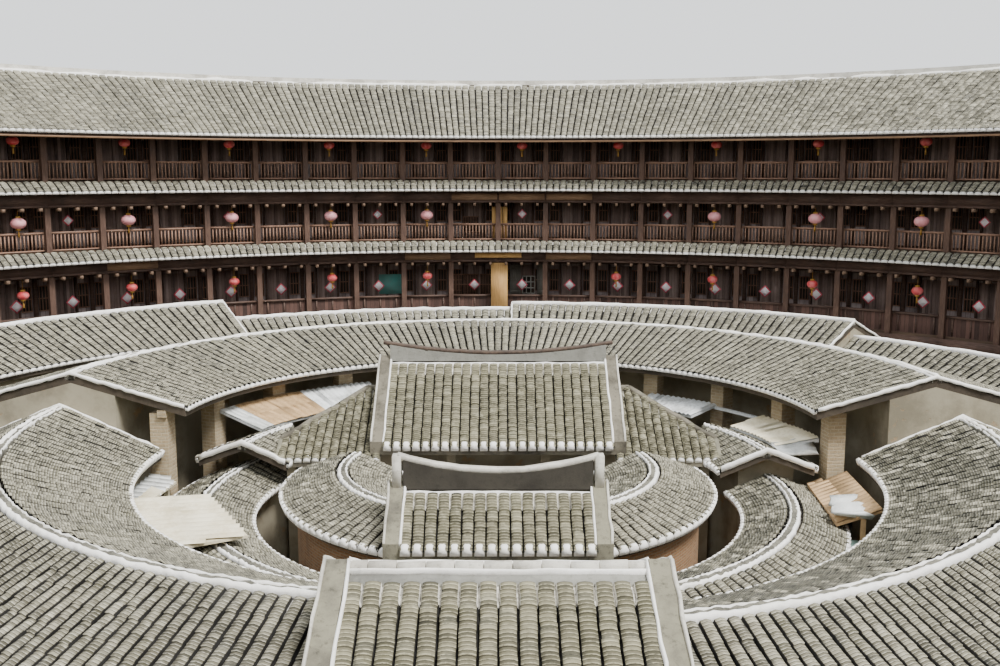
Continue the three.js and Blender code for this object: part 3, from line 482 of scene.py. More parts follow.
def make_object(name, parts, look):
    """A mesh piece from (points, faces) parts, or (points, faces, uv) for open sheets of tile, in metres of
    the real house; it rides on the house."""
    parts = parts if isinstance(parts, list) else [parts]
    sheet = len(parts[0]) == 3
    points = np.concatenate([np.asarray(part[0], dtype=np.float64).reshape(-1, 3) for part in parts]) * K
    bases = np.cumsum([0] + [len(np.asarray(part[0]).reshape(-1, 3)) for part in parts[:-1]])
    faces = np.concatenate([np.asarray(part[1], dtype=np.int32) + base for part, base in zip(parts, bases)])
    used, faces = np.unique(faces, return_inverse=True)
    points = points[used]
    faces = faces.reshape(-1, 4).astype(np.int32)
    mesh = bpy.data.meshes.new(name)
    mesh.vertices.add(len(points))
    mesh.vertices.foreach_set("co", points.ravel())
    mesh.loops.add(faces.size)
    mesh.loops.foreach_set("vertex_index", faces.ravel())
    mesh.polygons.add(len(faces))
    mesh.polygons.foreach_set("loop_start", np.arange(len(faces), dtype=np.int32) * 4)
    if sheet:
        uv = np.concatenate([np.asarray(part[2], dtype=np.float32).reshape(-1, 2) for part in parts])[used]
        layer = mesh.uv_layers.new(name="UVMap")
        layer.data.foreach_set("uv", uv[faces.ravel()].ravel())
    mesh.update(calc_edges=True)
    mesh.validate()
    if not sheet:
        shape = bmesh.new()
        shape.from_mesh(mesh)
        bmesh.ops.recalc_face_normals(shape, faces=shape.faces)
        shape.to_mesh(mesh)
        shape.free()
    mesh.materials.append(finish(look))
    made = bpy.data.objects.new(name, mesh)
    bpy.context.scene.collection.objects.link(made)
    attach(made, "root")
    return made


def lay_tiles(name, parts, look):
    """A piece of clay tile."""
    make_object(name, parts, look)


def lay_mortar(name, parts, look="lime"):
    """A piece of lime mortar."""
    make_object(name, parts, look)


def fit_timber(name, parts, look):
    """A piece of timber, or of what is set in timber."""
    return make_object(name, parts, look)


def hang_sheet(name, parts, look):
    """A piece of paper, card, cord, film or corrugated sheet."""
    make_object(name, parts, look)


def turn(azimuth, radius, height):
    """Points at azimuths (degrees), radii and heights; azimuth 0 is the back, 90 the right."""
    a = np.radians(azimuth)
    return np.stack(np.broadcast_arrays(radius * np.sin(a), radius * np.cos(a), height), axis=-1)


def unit(vectors):
    """The vectors drawn out to a length of one."""
    return vectors / np.linalg.norm(vectors, axis=-1, keepdims=True)


BOX_CORNERS = np.array([(x, y, z) for z in (-1, 1) for y in (-1, 1) for x in (-1, 1)]) / 2
BOX_FACES = np.array([(0, 2, 3, 1), (4, 5, 7, 6), (0, 1, 5, 4), (2, 6, 7, 3), (0, 4, 6, 2), (1, 3, 7, 5)])


def boxes(azimuth, local, size, roll=0.0):
    """Boxes turned to azimuths: local is each centre's (side, radius, height), size its (side, depth,
    height), and roll turns them in the plane that faces the court."""
    azimuth, local, size = np.atleast_1d(azimuth), np.atleast_2d(local), np.atleast_2d(size)
    count = max(len(azimuth), len(local), len(size))
    azimuth = np.broadcast_to(azimuth, (count,))
    corners = BOX_CORNERS[None] * np.broadcast_to(size, (count, 3))[:, None]
    c, s = math.cos(math.radians(roll)), math.sin(math.radians(roll))
    rolled = np.stack([corners[..., 0] * c - corners[..., 2] * s, corners[..., 1],
                       corners[..., 0] * s + corners[..., 2] * c], axis=-1)
    corners = rolled + np.broadcast_to(local, (count, 3))[:, None]
    a = np.radians(azimuth)[:, None]
    x = corners[..., 0] * np.cos(a) + corners[..., 1] * np.sin(a)
    y = -corners[..., 0] * np.sin(a) + corners[..., 1] * np.cos(a)
    points = np.stack([x, y, corners[..., 2]], axis=-1).reshape(-1, 3)
    faces = (BOX_FACES[None] + 8 * np.arange(count)[:, None, None]).reshape(-1, 4)
    return points, faces


def in_bays(bays, face, floor, side, depth, up, size):
    """Boxes in the bays, each placed from the middle of the bay's foot on a face."""
    return boxes(bays, (side, face + depth, floor + up), size)


def plain_box(x, y, z):
    """One box between two x, two y and two z values."""
    spans = np.array([x, y, z], dtype=float)
    return BOX_CORNERS * (spans[:, 1] - spans[:, 0]) + spans.mean(axis=1), BOX_FACES


def skin(rings, wrap=False):
    """Closed body through rings of corners: quads round the sides, and a strip of quads over each end."""
    rings = np.asarray(rings, dtype=float)
    m, n = rings.shape[:2]
    faces = []
    for i in range(m if wrap else m - 1):
        here, there = i * n, ((i + 1) % m) * n
        faces += [(here + j, here + (j + 1) % n, there + (j + 1) % n, there + j) for j in range(n)]
    if not wrap:
        for base in (0, (m - 1) * n):
            faces += [(base + j, base + j + 1, base + n - 2 - j, base + n - 1 - j) for j in range(n // 2 - 1)]
    return rings.reshape(-1, 3), np.array(faces)


def rounded(width, rise, foot=0.04):
    """Section of a hand-laid mortar bead: six corners, flat below, rounded above."""
    half = width / 2
    return np.array([(-half, -foot), (half, -foot), (half * 0.92, rise * 0.6), (half * 0.45, rise),
                     (-half * 0.45, rise), (-half * 0.92, rise * 0.6)])


def unevenness(rng, wobble, rings, corners):
    """Random offsets of whole rings, and half as large ones of their corners."""
    return rng.normal(0, wobble, (rings, 1, 2)) + rng.normal(0, wobble / 2, (rings, corners, 2))


def ring_bead(radius, height, section, azimuths, wobble=0.0, seed=1):
    """A section of (radius, height) offsets carried round the court, a little uneven as if by hand."""
    azimuths = np.asarray(azimuths, dtype=float)
    section = np.asarray(section)
    rng = np.random.default_rng(seed)
    shape = section[None] + unevenness(rng, wobble, len(azimuths), len(section))
    rings = turn(azimuths[:, None], radius + shape[..., 0], height + shape[..., 1])
    whole = azimuths[-1] - azimuths[0] > 359.9
    return skin(rings[:-1] if whole else rings, wrap=whole)


def path_bead(path, section, wobble=0.0, seed=1, step=0.3):
    """A section of (sideways, upward) offsets carried along a path of points."""
    path = np.asarray(path, dtype=float)
    legs = np.linalg.norm(np.diff(path, axis=0), axis=1)
    marks = np.concatenate([[0.0], np.cumsum(legs)])
    counts = [max(2, int(math.ceil(leg / step)) + 1) for leg in np.diff(marks)]
    spots = [np.linspace(a, b, count)[:-1] for a, b, count in zip(marks, marks[1:], counts)]
    along = np.concatenate(spots + [[marks[-1]]])
    points = np.stack([np.interp(along, marks, path[:, i]) for i in range(3)], axis=-1)
    heading = np.gradient(points, axis=0)
    across = unit(np.stack([heading[:, 1], -heading[:, 0], np.zeros(len(points))], axis=-1))
    rng = np.random.default_rng(seed)
    section = np.asarray(section)
    shape = section[None] + unevenness(rng, wobble, len(points), len(section))
    rings = points[:, None] + across[:, None] * shape[..., :1] + np.array([0, 0, 1.0]) * shape[..., 1:]
    return skin(rings)


def flat_section(width, low, high, edge=0.02):
    """Section of a flat band with eased upper edges."""
    half = width / 2
    return np.array([(-half, low), (half, low), (half, high - edge), (half - edge, high),
                     (-half + edge, high), (-half, high - edge)])


def lathe(profile, sides=10):
    """A turned body from a profile of (radius, height), from its foot to its top."""
    a = np.linspace(0, 2 * np.pi, sides, endpoint=False)
    rings = np.array([[(r * math.cos(t), r * math.sin(t), z) for t in a] for r, z in profile])
    return skin(rings)


def copies(shape, spots):
    """The same (points, faces) shape at several spots."""
    points, faces = shape
    spots = np.asarray(spots, dtype=float)
    moved = (points[None] + spots[:, None]).reshape(-1, 3)
    return moved, (faces[None] + len(points) * np.arange(len(spots))[:, None, None]).reshape(-1, 4)


def arc_steps(start, end, step):
    """Azimuths from start to end, about step apart."""
    count = max(2, int(round((end - start) / step)) + 1)
    return np.linspace(start, end, count)


# Cross-sections of one tile column: share of the column's width, and rise above the bed in metres
FAR_SECTION = ((-0.41, 0.0), (-0.35, 0.08), (0.35, 0.08), (0.41, 0.0), (0.59, 0.0))
MID_SECTION = ((-0.42, 0.0), (-0.38, 0.065), (0.0, 0.09), (0.38, 0.065), (0.42, 0.0), (0.58, 0.0))
NEAR_SECTION = ((-0.45, 0.0), (-0.43, 0.055), (-0.24, 0.076), (0.0, 0.083), (0.24, 0.076), (0.43, 0.055),
                (0.45, 0.0), (0.55, 0.0))
LIP_RISE = 0.01
TILE_BED = 0.02
PLUG_ARCH = np.array([(-0.5, -0.3), (-0.44, 0.5), (-0.2, 1.0), (0.2, 1.0), (0.44, 0.5), (0.5, -0.3)])

# Laid by hand: how far a tile slips and a column sways, in column widths, and how unevenly tiles rise
SLIP = 0.013
SWAY = 0.016
RISE = 0.006


class Columns:
    """The tile columns of one slope: the ends of each middle line, the width vectors there and the normal."""

    def __init__(self, top, bottom, across_top, across_bottom, normal):
        self.top, self.bottom = top, bottom
        self.across_top, self.across_bottom, self.normal = across_top, across_bottom, normal

    def length(self):
        """The longest column's length."""
        return float(np.linalg.norm(self.bottom - self.top, axis=1).max())

    def tiles(self, row, section, seed):
        """Lapped tiles with UVs that count columns and rows from the ridge."""
        rows = max(2, int(round(self.length() / row)))
        rng = np.random.default_rng(seed)
        count = len(self.top)
        section = np.asarray(section)
        n = len(section)
        cuts = np.repeat(np.arange(rows + 1), 2)[1:-1] / rows
        lift = np.tile([0.0, LIP_RISE], rows)
        rows_uv = np.repeat(np.arange(rows), 2) + np.tile([0.02, 0.98], rows)
        m = len(cuts)
        t = cuts[None, :, None]
        middle = self.top[:, None] * (1 - t) + self.bottom[:, None] * t
        across = self.across_top[:, None] * (1 - t) + self.across_bottom[:, None] * t
        cover = np.abs(section[:, 0]) < 0.5
        jitter = np.repeat(rng.normal(0, SLIP, (count, rows)), 2, axis=1)
        drift = SWAY * np.sin(cuts[None] * 5 + rng.uniform(0, 6.3, (count, 1)))
        rise = np.repeat(rng.normal(0, RISE, (count, rows)), 2, axis=1)
        wide = section[None, None, :, 0] + (jitter + drift)[..., None] * cover
        up = section[None, None, :, 1] + (lift[None] + rise)[..., None] + TILE_BED
        points = middle[:, :, None] + across[:, :, None] * wide[..., None]
        points = points + self.normal[:, None, None] * up[..., None]
        u = np.arange(count)[:, None, None] + section[None, None, :, 0] + 0.5
        uv = np.stack(np.broadcast_arrays(u, rows_uv[None, :, None]), axis=-1).reshape(-1, 2)
        start = (np.arange(count)[:, None, None] * m + np.arange(m - 1)[None, :, None]) * n + np.arange(n - 1)
        faces = np.stack([start, start + n, start + n + 1, start + 1], axis=-1).reshape(-1, 4)
        return points.reshape(-1, 3), faces, uv

    def plugs(self, width=0.94, rise=0.09, depth=0.1, out=0.03):
        """Rounded mortar plugs that close the lower ends of the columns."""
        down = unit(self.bottom - self.top)
        count, n = len(self.top), len(PLUG_ARCH)
        rings = []
        for along, swell in ((-depth, 1.0), (out, 0.94)):
            centre = self.bottom + down * along
            sideways = self.across_bottom[:, None] * (PLUG_ARCH[None, :, :1] * width * swell)
            upward = self.normal[:, None] * (PLUG_ARCH[None, :, 1:] * rise * swell)
            rings.append(centre[:, None] + sideways + upward)
        points = np.stack(rings, axis=1).reshape(-1, 3)
        sides = [(j, (j + 1) % n, n + (j + 1) % n, n + j) for j in range(n)]
        ends = [(0, 1, 4, 5), (1, 2, 3, 4), (6, 11, 10, 7), (7, 10, 9, 8)]
        faces = np.array(sides + ends)[None] + 2 * n * np.arange(count)[:, None, None]
        return points, faces.reshape(-1, 4)


def ring_columns(gable, side, pitch, crown=0.0, eave=0.0):
    """Columns down one slope of a ring roof, from crown below the ridge to eave past the slab's edge."""
    r_top, z_top = gable.ridge
    r_low, z_low, fall = gable.slope(side)
    sign = -1 if side == "inner" else 1
    r_low, z_low = r_low + sign * eave, z_low - fall * eave
    r_top, z_top = r_top + sign * crown, z_top - fall * crown
    middle = (r_top + r_low) / 2
    count = max(3, int(round(math.radians(gable.end - gable.start) * middle / pitch)))
    step = (gable.end - gable.start) / count
    azimuth = gable.start + step * (np.arange(count) + 0.5)
    a = np.radians(azimuth)
    tangent = np.stack([np.cos(a), -np.sin(a), np.zeros_like(a)], axis=-1) * -sign
    width = math.radians(step)
    length = math.hypot(1, fall)
    normal = turn(azimuth, sign * fall / length, 1 / length)
    return Columns(turn(azimuth, r_top, z_top), turn(azimuth, r_low, z_low),
                   tangent * width * r_top, tangent * width * r_low, normal)


def hall_slope(hall, side):
    """Which way a side of a straight roof runs from its ridge, and how far it falls over each metre."""
    return -1 if side == "front" else 1, (hall["ridge"] - hall["eave"]) / abs(hall[side] - hall["ridge_y"])


def straight_columns(h, side, count, crown=0.0, eave=0.0):
    """Columns down one slope of a straight gable roof, between its verges."""
    half = h["half"] - VERGE_WIDTH
    sign, fall = hall_slope(h, side)
    step = 2 * half / count
    x = -half + step * (np.arange(count) + 0.5)
    ones = np.ones_like(x)
    top = np.stack([x, ones * (h["ridge_y"] + sign * crown), ones * (h["ridge"] - fall * crown)], axis=-1)
    bottom = np.stack([x, ones * (h[side] + sign * eave), ones * (h["eave"] - fall * eave)], axis=-1)
    across = np.array([-sign * step, 0.0, 0.0]) * ones[:, None]
    length = math.hypot(1, fall)
    normal = np.array([0.0, sign * fall / length, 1 / length]) * ones[:, None]
    return Columns(top, bottom, across, across, normal)


def plane_columns(corners, pitch):
    """Columns down a flat face, one Columns each, from its corners in order round it; a level face has them
    along its first edge."""
    corners = np.asarray(corners, dtype=float)
    normal = unit(np.cross(corners[1] - corners[0], corners[-1] - corners[0]))
    normal = normal if normal[2] > 0 else -normal
    down = np.array([normal[0] * normal[2], normal[1] * normal[2], -(normal[0] ** 2 + normal[1] ** 2)])
    down = unit(down if np.linalg.norm(down) > 1e-6 else corners[1] - corners[0])
    side = np.cross(down, normal)
    flat = np.stack([(corners - corners[0]) @ side, (corners - corners[0]) @ down], axis=-1)
    low, high = flat[:, 0].min(), flat[:, 0].max()
    count = max(1, int(round((high - low) / pitch)))
    width = (high - low) / count
    found = []
    for i in range(count):
        s = low + width * (i + 0.5)
        hits = []
        for a, b in zip(flat, np.roll(flat, -1, axis=0)):
            if (a[0] - s) * (b[0] - s) < 0:
                hits.append(a[1] + (b[1] - a[1]) * (s - a[0]) / (b[0] - a[0]))
        if len(hits) < 2 or max(hits) - min(hits) < 0.2:
            continue
        top = corners[0] + side * s + down * min(hits)
        bottom = corners[0] + side * s + down * max(hits)
        across = side * width
        found.append(Columns(top[None], bottom[None], across[None], across[None], normal[None]))
    return found


def cut_back(part, push):
    """Drops the faces that lie beyond a limit and draws the rest back to it; push gives the moved points and
    which of them were beyond."""
    points, gone = push(part[0])
    keep = ~gone[part[1]].all(axis=1)
    return (points, part[1][keep], *part[2:])


def beside_passage(limit):
    """Keeps the side roofs of a ring clear of the front passage."""

    def push(points):
        gone = (np.abs(points[:, 0]) < limit) & (points[:, 1] < 0)
        moved = points.copy()
        moved[gone, 0] = np.where(points[gone, 0] < 0, -limit, limit)
        return moved, gone

    return push


def outside_wings(points):
    """Keeps ring A's roofs clear of the two wings."""
    x_edge, y_edge = WING_EDGE
    gone = (np.abs(points[:, 0]) < x_edge) & (points[:, 1] > y_edge)
    moved = points.copy()
    sideways = x_edge - np.abs(points[:, 0]) < points[:, 1] - y_edge
    out, front = gone & sideways, gone & ~sideways
    moved[out, 0] = np.where(points[out, 0] < 0, -x_edge, x_edge)
    moved[front, 1] = y_edge
    return moved, gone


def in_front_of_hall(points):
    """Keeps the core's roofs clear of the gate hall and the main hall's wings."""
    x_edge, y_edge = GATE_HALL["half"] + 0.01, WING_EDGE[1]
    beside = (np.abs(points[:, 0]) < x_edge) & (points[:, 1] < 0)
    behind = points[:, 1] > y_edge
    moved = points.copy()
    moved[beside, 0] = np.where(points[beside, 0] < 0, -x_edge, x_edge)
    moved[behind, 1] = y_edge
    return moved, beside | behind


def ridge_line(gable, offset, section, push, seed, wobble=0.01):
    """A bead of mortar or tile along a ridge; offset is how far outside the ridge it lies. Steps that push
    finds beyond a limit are left out."""
    radius = gable.ridge[0] + offset
    height = gable.ridge[1] - abs(offset) * gable.slope("outer" if offset > 0 else "inner")[2]
    steps = arc_steps(gable.start, gable.end, 0.5 if push else 1.25)
    if push:
        steps = steps[~push(turn(steps, radius, 0.0))[1]]
    return ring_bead(radius, height, section, steps, wobble, seed)


def verge_band(gable, azimuth, seed, high=0.1):
    """The mortar band over the end of a ring roof, from eave to eave."""
    (r_in, z_in), (r_out, z_out) = gable.inner, gable.outer
    path = [turn(azimuth, r_in + 0.02, z_in), turn(azimuth, *gable.ridge), turn(azimuth, r_out - 0.02, z_out)]
    return path_bead(path, flat_section(0.065, 0.02, high), 0.007, seed, 0.14)


def on_slope(hall, side, distance, lift=0.0):
    """Depth and height of a spot on a straight roof, at a level distance from its ridge."""
    sign, fall = hall_slope(hall, side)
    return hall["ridge_y"] + sign * distance, hall["ridge"] - fall * distance + lift


def along_ridge(hall, distance, half, section, seed, lift=0.0):
    """Beads along X on both slopes of a straight roof."""
    spots = [on_slope(hall, side, distance, lift) for side in ("front", "back")]
    return [path_bead([(-half, y, z), (half, y, z)], section, WOBBLE, seed) for y, z in spots]


def down_verges(hall, x, section, seed, lift=0.0):
    """Beads down both slopes of a straight roof, at x and at minus x."""
    beads = []
    for sign in (-1, 1):
        for side in ("front", "back"):
            reach = abs(hall[side] - hall["ridge_y"])
            points = [(sign * x, *on_slope(hall, side, d, lift)) for d in (0.02, reach - 0.01)]
            beads.append(path_bead(points, section, WOBBLE, seed + len(beads)))
    return beads


def slope_band(hall, side, near, far, half, lift):
    """A flat plastered band along X on a straight roof, between two level distances from the ridge."""
    rings = []
    for x in (-half, half):
        (y0, z0), (y1, z1) = on_slope(hall, side, near), on_slope(hall, side, far)
        rings.append([(x, y0, z0), (x, y1, z1), (x, y1, z1 + lift), (x, y0, z0 + lift)])
    return skin(rings)


def curved_cap(hall, inset, middle, ends, section, seed):
    """The cap along a ridge that rises in a curve to its two ends."""
    half = hall["half"] - inset
    x = np.linspace(-half, half, 17)
    z = hall["ridge"] + middle + (ends - middle) * (x / half) ** 2
    return path_bead(np.stack([x, np.full_like(x, hall["ridge_y"]), z], axis=-1), section, 0.004, seed)


def tile_hall(name, hall, count, crown, seed, row):
    """Tiles both slopes of a straight roof and plugs their lower ends."""
    columns = [straight_columns(hall, side, count, crown=crown, eave=0.05) for side in ("front", "back")]
    tiles = [c.tiles(row, NEAR_SECTION, seed + i) for i, c in enumerate(columns)]
    lay_tiles(f"{name}_tiles", tiles, "hall tile")
    lay_mortar(f"{name}_plugs", [c.plugs(0.88, 0.13, 0.11) for c in columns])


class HouseSizes(bpy.types.PropertyGroup):
    """Sizes, in metres of the real house, and colours that a user would change."""

    far_pitch: bpy.props.FloatProperty(
        name="Ring tile pitch", description="Width of a tile column on the great roof",
        default=0.27, unit="LENGTH"
    )
    far_row: bpy.props.FloatProperty(
        name="Ring tile lap", description="Length of three laps of tile on the great roof",
        default=0.33, unit="LENGTH"
    )
    low_pitch: bpy.props.FloatProperty(
        name="Low ring tile pitch", description="Width of a tile column on the low rings",
        default=0.21, unit="LENGTH"
    )
    low_row: bpy.props.FloatProperty(
        name="Low ring tile lap", description="Length of four laps of tile on ring B",
        default=0.19, unit="LENGTH"
    )
    hall_row: bpy.props.FloatProperty(
        name="Hall tile lap", description="Length of two laps of tile on the halls",
        default=0.12, unit="LENGTH"
    )
    baluster_count: bpy.props.IntProperty(
        name="Balusters", description="Balusters between two gallery posts", default=14, min=2
    )
    lantern_width: bpy.props.FloatProperty(
        name="Lantern width", description="Width of a gallery lantern",
        default=0.42, unit="LENGTH"
    )
    mortar_colour: bpy.props.FloatVectorProperty(
        name="Mortar", description="Colour of clean lime mortar",
        default=linear("#fffdf8"), subtype="COLOR", size=4
    )
    lantern_colour: bpy.props.FloatVectorProperty(
        name="Lantern", description="Colour of red lantern paper",
        default=linear("#d9474b"), subtype="COLOR", size=4
    )
    panel_colour: bpy.props.FloatVectorProperty(
        name="Panel", description="Colour of the painted board",
        default=linear("#63b5ab"), subtype="COLOR", size=4
    )
    key_strength: bpy.props.FloatProperty(
        name="Key light", description="Strength of the soft key light", default=5.6
    )
    sky_strength: bpy.props.FloatProperty(
        name="Sky light", description="Strength of the studio sky", default=1.8
    )


class HOUSE_OT_cad_finishes(bpy.types.Operator):
    """Gives every solid of the frame its real finish"""

    bl_idname = "house.cad_finishes"
    bl_label = "Wall and timber finishes"

    def execute(self, context):
        rules = (
            ("outer_wall", "earth"), ("gallery_posts", "post"), ("floor_", "floor boards"),
            ("room_fronts", "front boards"), ("parapet", "parapet boards"), ("railing", "rail"),
            ("core_walls", "core brick"), ("ring_b_piers", "pier brick"), ("ring_b_walls_right", "brick"),
            ("ring_b_walls", "plaster"), ("ring_c_walls", "plaster"), ("ring_a_walls", "plaster"),
            ("main_hall_walls", "plaster"), ("passage_walls", "plaster"), ("gate_hall_ridge", "dark band"),
            ("main_hall_ridge", "grey band"), ("gate_hall_roof", "verge lime"),
            ("main_hall_roof", "rough lime"), ("passage_roof", "verge lime"),
            ("wing_roof", "rough lime"), ("main_roof", "great slab"),
            # the ring and core roof slabs take the sheathing look, darkened as painted shade under the eaves
            ("ring_", "sheathing"), ("core_roof", "sheathing"), ("pent_roof", "beam"),
            ("canopy_left", "cream sheet"), ("canopy_right", "tan plank"), ("canopy_back_left", "grey sheet"),
            ("canopy_back_right", "grey sheet"),
        )
        for name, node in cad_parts.items():
            look = next(look for start, look in rules if name.startswith(start))
            node.data.materials.clear()
            node.data.materials.append(finish(look))
        return {"FINISHED"}


class HOUSE_OT_great_roof(bpy.types.Operator):
    """Tiles the ring roof of the outer house and lays its ridge, eave plugs and eave board"""

    bl_idname = "house.great_roof"
    bl_label = "Great ring roof"

    def execute(self, context):
        sizes = context.scene.house_sizes
        inner = ring_columns(MAIN, "inner", sizes.far_pitch, crown=0.2, eave=0.07)
        outer = ring_columns(MAIN, "outer", sizes.far_pitch, crown=0.2, eave=-0.1)
        lay_tiles("main_roof_tiles_inner", inner.tiles(sizes.far_row, FAR_SECTION, 11), "far tile")
        tiles = outer.tiles(sizes.far_row * OUTER_STEP, FAR_SECTION, 12)
        lay_tiles("main_roof_tiles_outer", tiles, "outer tile")
        shoulders = [ridge_line(MAIN, offset, rounded(0.15, 0.15, 0.1), None, seed, 0.018)
                     for offset, seed in ((-0.19, 3), (0.19, 4))]
        lay_mortar("main_roof_ridge_mortar", shoulders)
        plugs = [inner.plugs(1.0, 0.085, 0.1), outer.plugs(1.0, 0.08, 0.1, 0.02)]
        lay_mortar("main_roof_eave_plugs", plugs)
        board = ring_bead(21.67, 10.765, flat_section(0.03, -0.035, 0.035, 0.004), arc_steps(-180, 180, 2.5))
        fit_timber("main_roof_eave_board", board, "pale board")
        return {"FINISHED"}


class HOUSE_OT_pent_roofs(bpy.types.Operator):
    """Tiles the narrow pent roofs below the third and fourth galleries"""

    bl_idname = "house.pent_roofs"
    bl_label = "Pent roofs"

    def execute(self, context):
        for number, pent in PENTS.items():
            columns = ring_columns(pent, "inner", 0.27, eave=0.12)
            lay_tiles(f"pent_roof_{number}_tiles", columns.tiles(0.21, MID_SECTION, 20 + number), "far tile")
            lay_mortar(f"pent_roof_{number}_plugs", columns.plugs(0.98, 0.075, 0.06))
        return {"FINISHED"}


class HOUSE_OT_ring_c_roofs(bpy.types.Operator):
    """Tiles the outermost low ring, stretch by stretch, with its ridge, plugs and verges"""

    bl_idname = "house.ring_c_roofs"
    bl_label = "Ring C roofs"

    def execute(self, context):
        for number, (name, gable) in enumerate(RING_C.items()):
            plugs = []
            for side, section in (("inner", MID_SECTION), ("outer", FAR_SECTION)):
                columns = ring_columns(gable, side, 0.26, crown=0.1, eave=0.06)
                tiles = columns.tiles(0.24, section, 40 + number)
                lay_tiles(f"ring_c_{name}_tiles_{side}", tiles, "ring tile")
                plugs.append(columns.plugs(1.0, 0.075, 0.06))
            lay_mortar(f"ring_c_{name}_plugs", plugs)
            ridge = [ridge_line(gable, 0.0, rounded(0.15, 0.13, 0.06), None, 50 + number, 0.009)]
            verges = [verge_band(gable, azimuth, 60 + number) for azimuth in RING_C_VERGES.get(name, ())]
            lay_mortar(f"ring_c_{name}_mortar", ridge + verges)
        return {"FINISHED"}


class HOUSE_OT_inner_ring_roofs(bpy.types.Operator):
    """Tiles ring B, ring A and the round core, with their ridges, plugs and verges"""

    bl_idname = "house.inner_ring_roofs"
    bl_label = "Inner ring roofs"

    def execute(self, context):
        sizes = context.scene.house_sizes
        beside_b, beside_a = beside_passage(B_CUT), beside_passage(A_CUT)
        rings = (
            ("ring_b_back", B_BACK, sizes.low_pitch, sizes.low_row, None, (-84, 87)),
            ("ring_b_left", B_LEFT, sizes.low_pitch, sizes.low_row, beside_b, (-84.4,)),
            ("ring_b_right", B_RIGHT, sizes.low_pitch, sizes.low_row, beside_b, (87.4,)),
            ("ring_a_back_left", A_BACK_LEFT, 0.22, 0.12, outside_wings, (-77,)),
            ("ring_a_back_right", A_BACK_RIGHT, 0.22, 0.12, outside_wings, (84,)),
            ("ring_a_left", A_LEFT, 0.22, 0.12, beside_a, ()),
            ("ring_a_right", A_RIGHT, 0.22, 0.12, beside_a, ()),
            ("core_left", CORE_LEFT, 0.2, 0.11, in_front_of_hall, ()),
            ("core_right", CORE_RIGHT, 0.2, 0.11, in_front_of_hall, ()),
        )
        for number, (name, gable, pitch, row, push, verges) in enumerate(rings):
            bead, look = (0.105, "near tile") if name.startswith("ring_b") else (0.08, "inner tile")
            at_back = name == "ring_b_back"
            high, plug_shape = (0.1, (1.0, 0.075, 0.06)) if at_back else (0.145, (0.94, 0.122, 0.045))
            plugs = []
            for side in ("inner", "outer"):
                columns = ring_columns(gable, side, pitch, crown=0.12, eave=0.05)
                tiles, plug = columns.tiles(row, MID_SECTION, 70 + number), columns.plugs(*plug_shape)
                lay_tiles(f"{name}_tiles_{side}", cut_back(tiles, push) if push else tiles, look)
                plugs.append(cut_back(plug, push) if push else plug)
            lay_mortar(f"{name}_plugs", plugs)
            ridge = ridge_line(gable, -0.03, rounded(0.17, 0.07, 0.1), push, 80 + number)
            lay_tiles(f"{name}_ridge_tiles", ridge, "near tile plain")
            mortar = [
                ridge_line(gable, 0.06, rounded(bead, bead, 0.06), push, 90 + number, 0.009),
                ridge_line(gable, -0.08, rounded(0.035, 0.11, 0.06), push, 100 + number, 0.007),
            ]
            mortar += [verge_band(gable, azimuth, 110 + number, high) for azimuth in verges]
            lay_mortar(f"{name}_mortar", mortar)
        return {"FINISHED"}


class HOUSE_OT_passage_roof(bpy.types.Operator):
    """Tiles the front passage under its segmented ridge, plastered bands and verges"""

    bl_idname = "house.passage_roof"
    bl_label = "Front passage roof"

    def execute(self, context):
        tile_hall("passage", PASSAGE, 16, 0.27, 205, context.scene.house_sizes.hall_row)
        half = PASSAGE["half"] - VERGE_WIDTH
        y, z = PASSAGE["ridge_y"], PASSAGE["ridge"]
        joints = np.linspace(-half - 0.1, half + 0.1, 12)
        cap = rounded(0.17, 0.085, 0.06)
        caps = [path_bead([(x0 + 0.006, y, z), (x1 - 0.006, y, z)], cap, WOBBLE, 210 + i, 1.0)
                for i, (x0, x1) in enumerate(zip(joints, joints[1:]))]
        bands = [slope_band(PASSAGE, side, 0.1, 0.29, half, 0.06) for side in ("front", "back")]
        lay_mortar("passage_ridge_caps", caps, "cap lime")
        make_object("passage_ridge_bands", bands, "grey band")
        lines = along_ridge(PASSAGE, 0.13, half, rounded(0.05, 0.05, 0.05), 230, 0.06)
        lines += down_verges(PASSAGE, half - 0.02, rounded(0.045, 0.07, 0.05), 232, 0.07)
        lay_mortar("passage_white_lines", lines)
        edges = down_verges(PASSAGE, PASSAGE["half"] - 0.02, rounded(0.045, 0.04, 0.04), 240, VERGE_HEIGHT)
        lay_mortar("passage_verge_edges", edges, "cap lime")
        return {"FINISHED"}


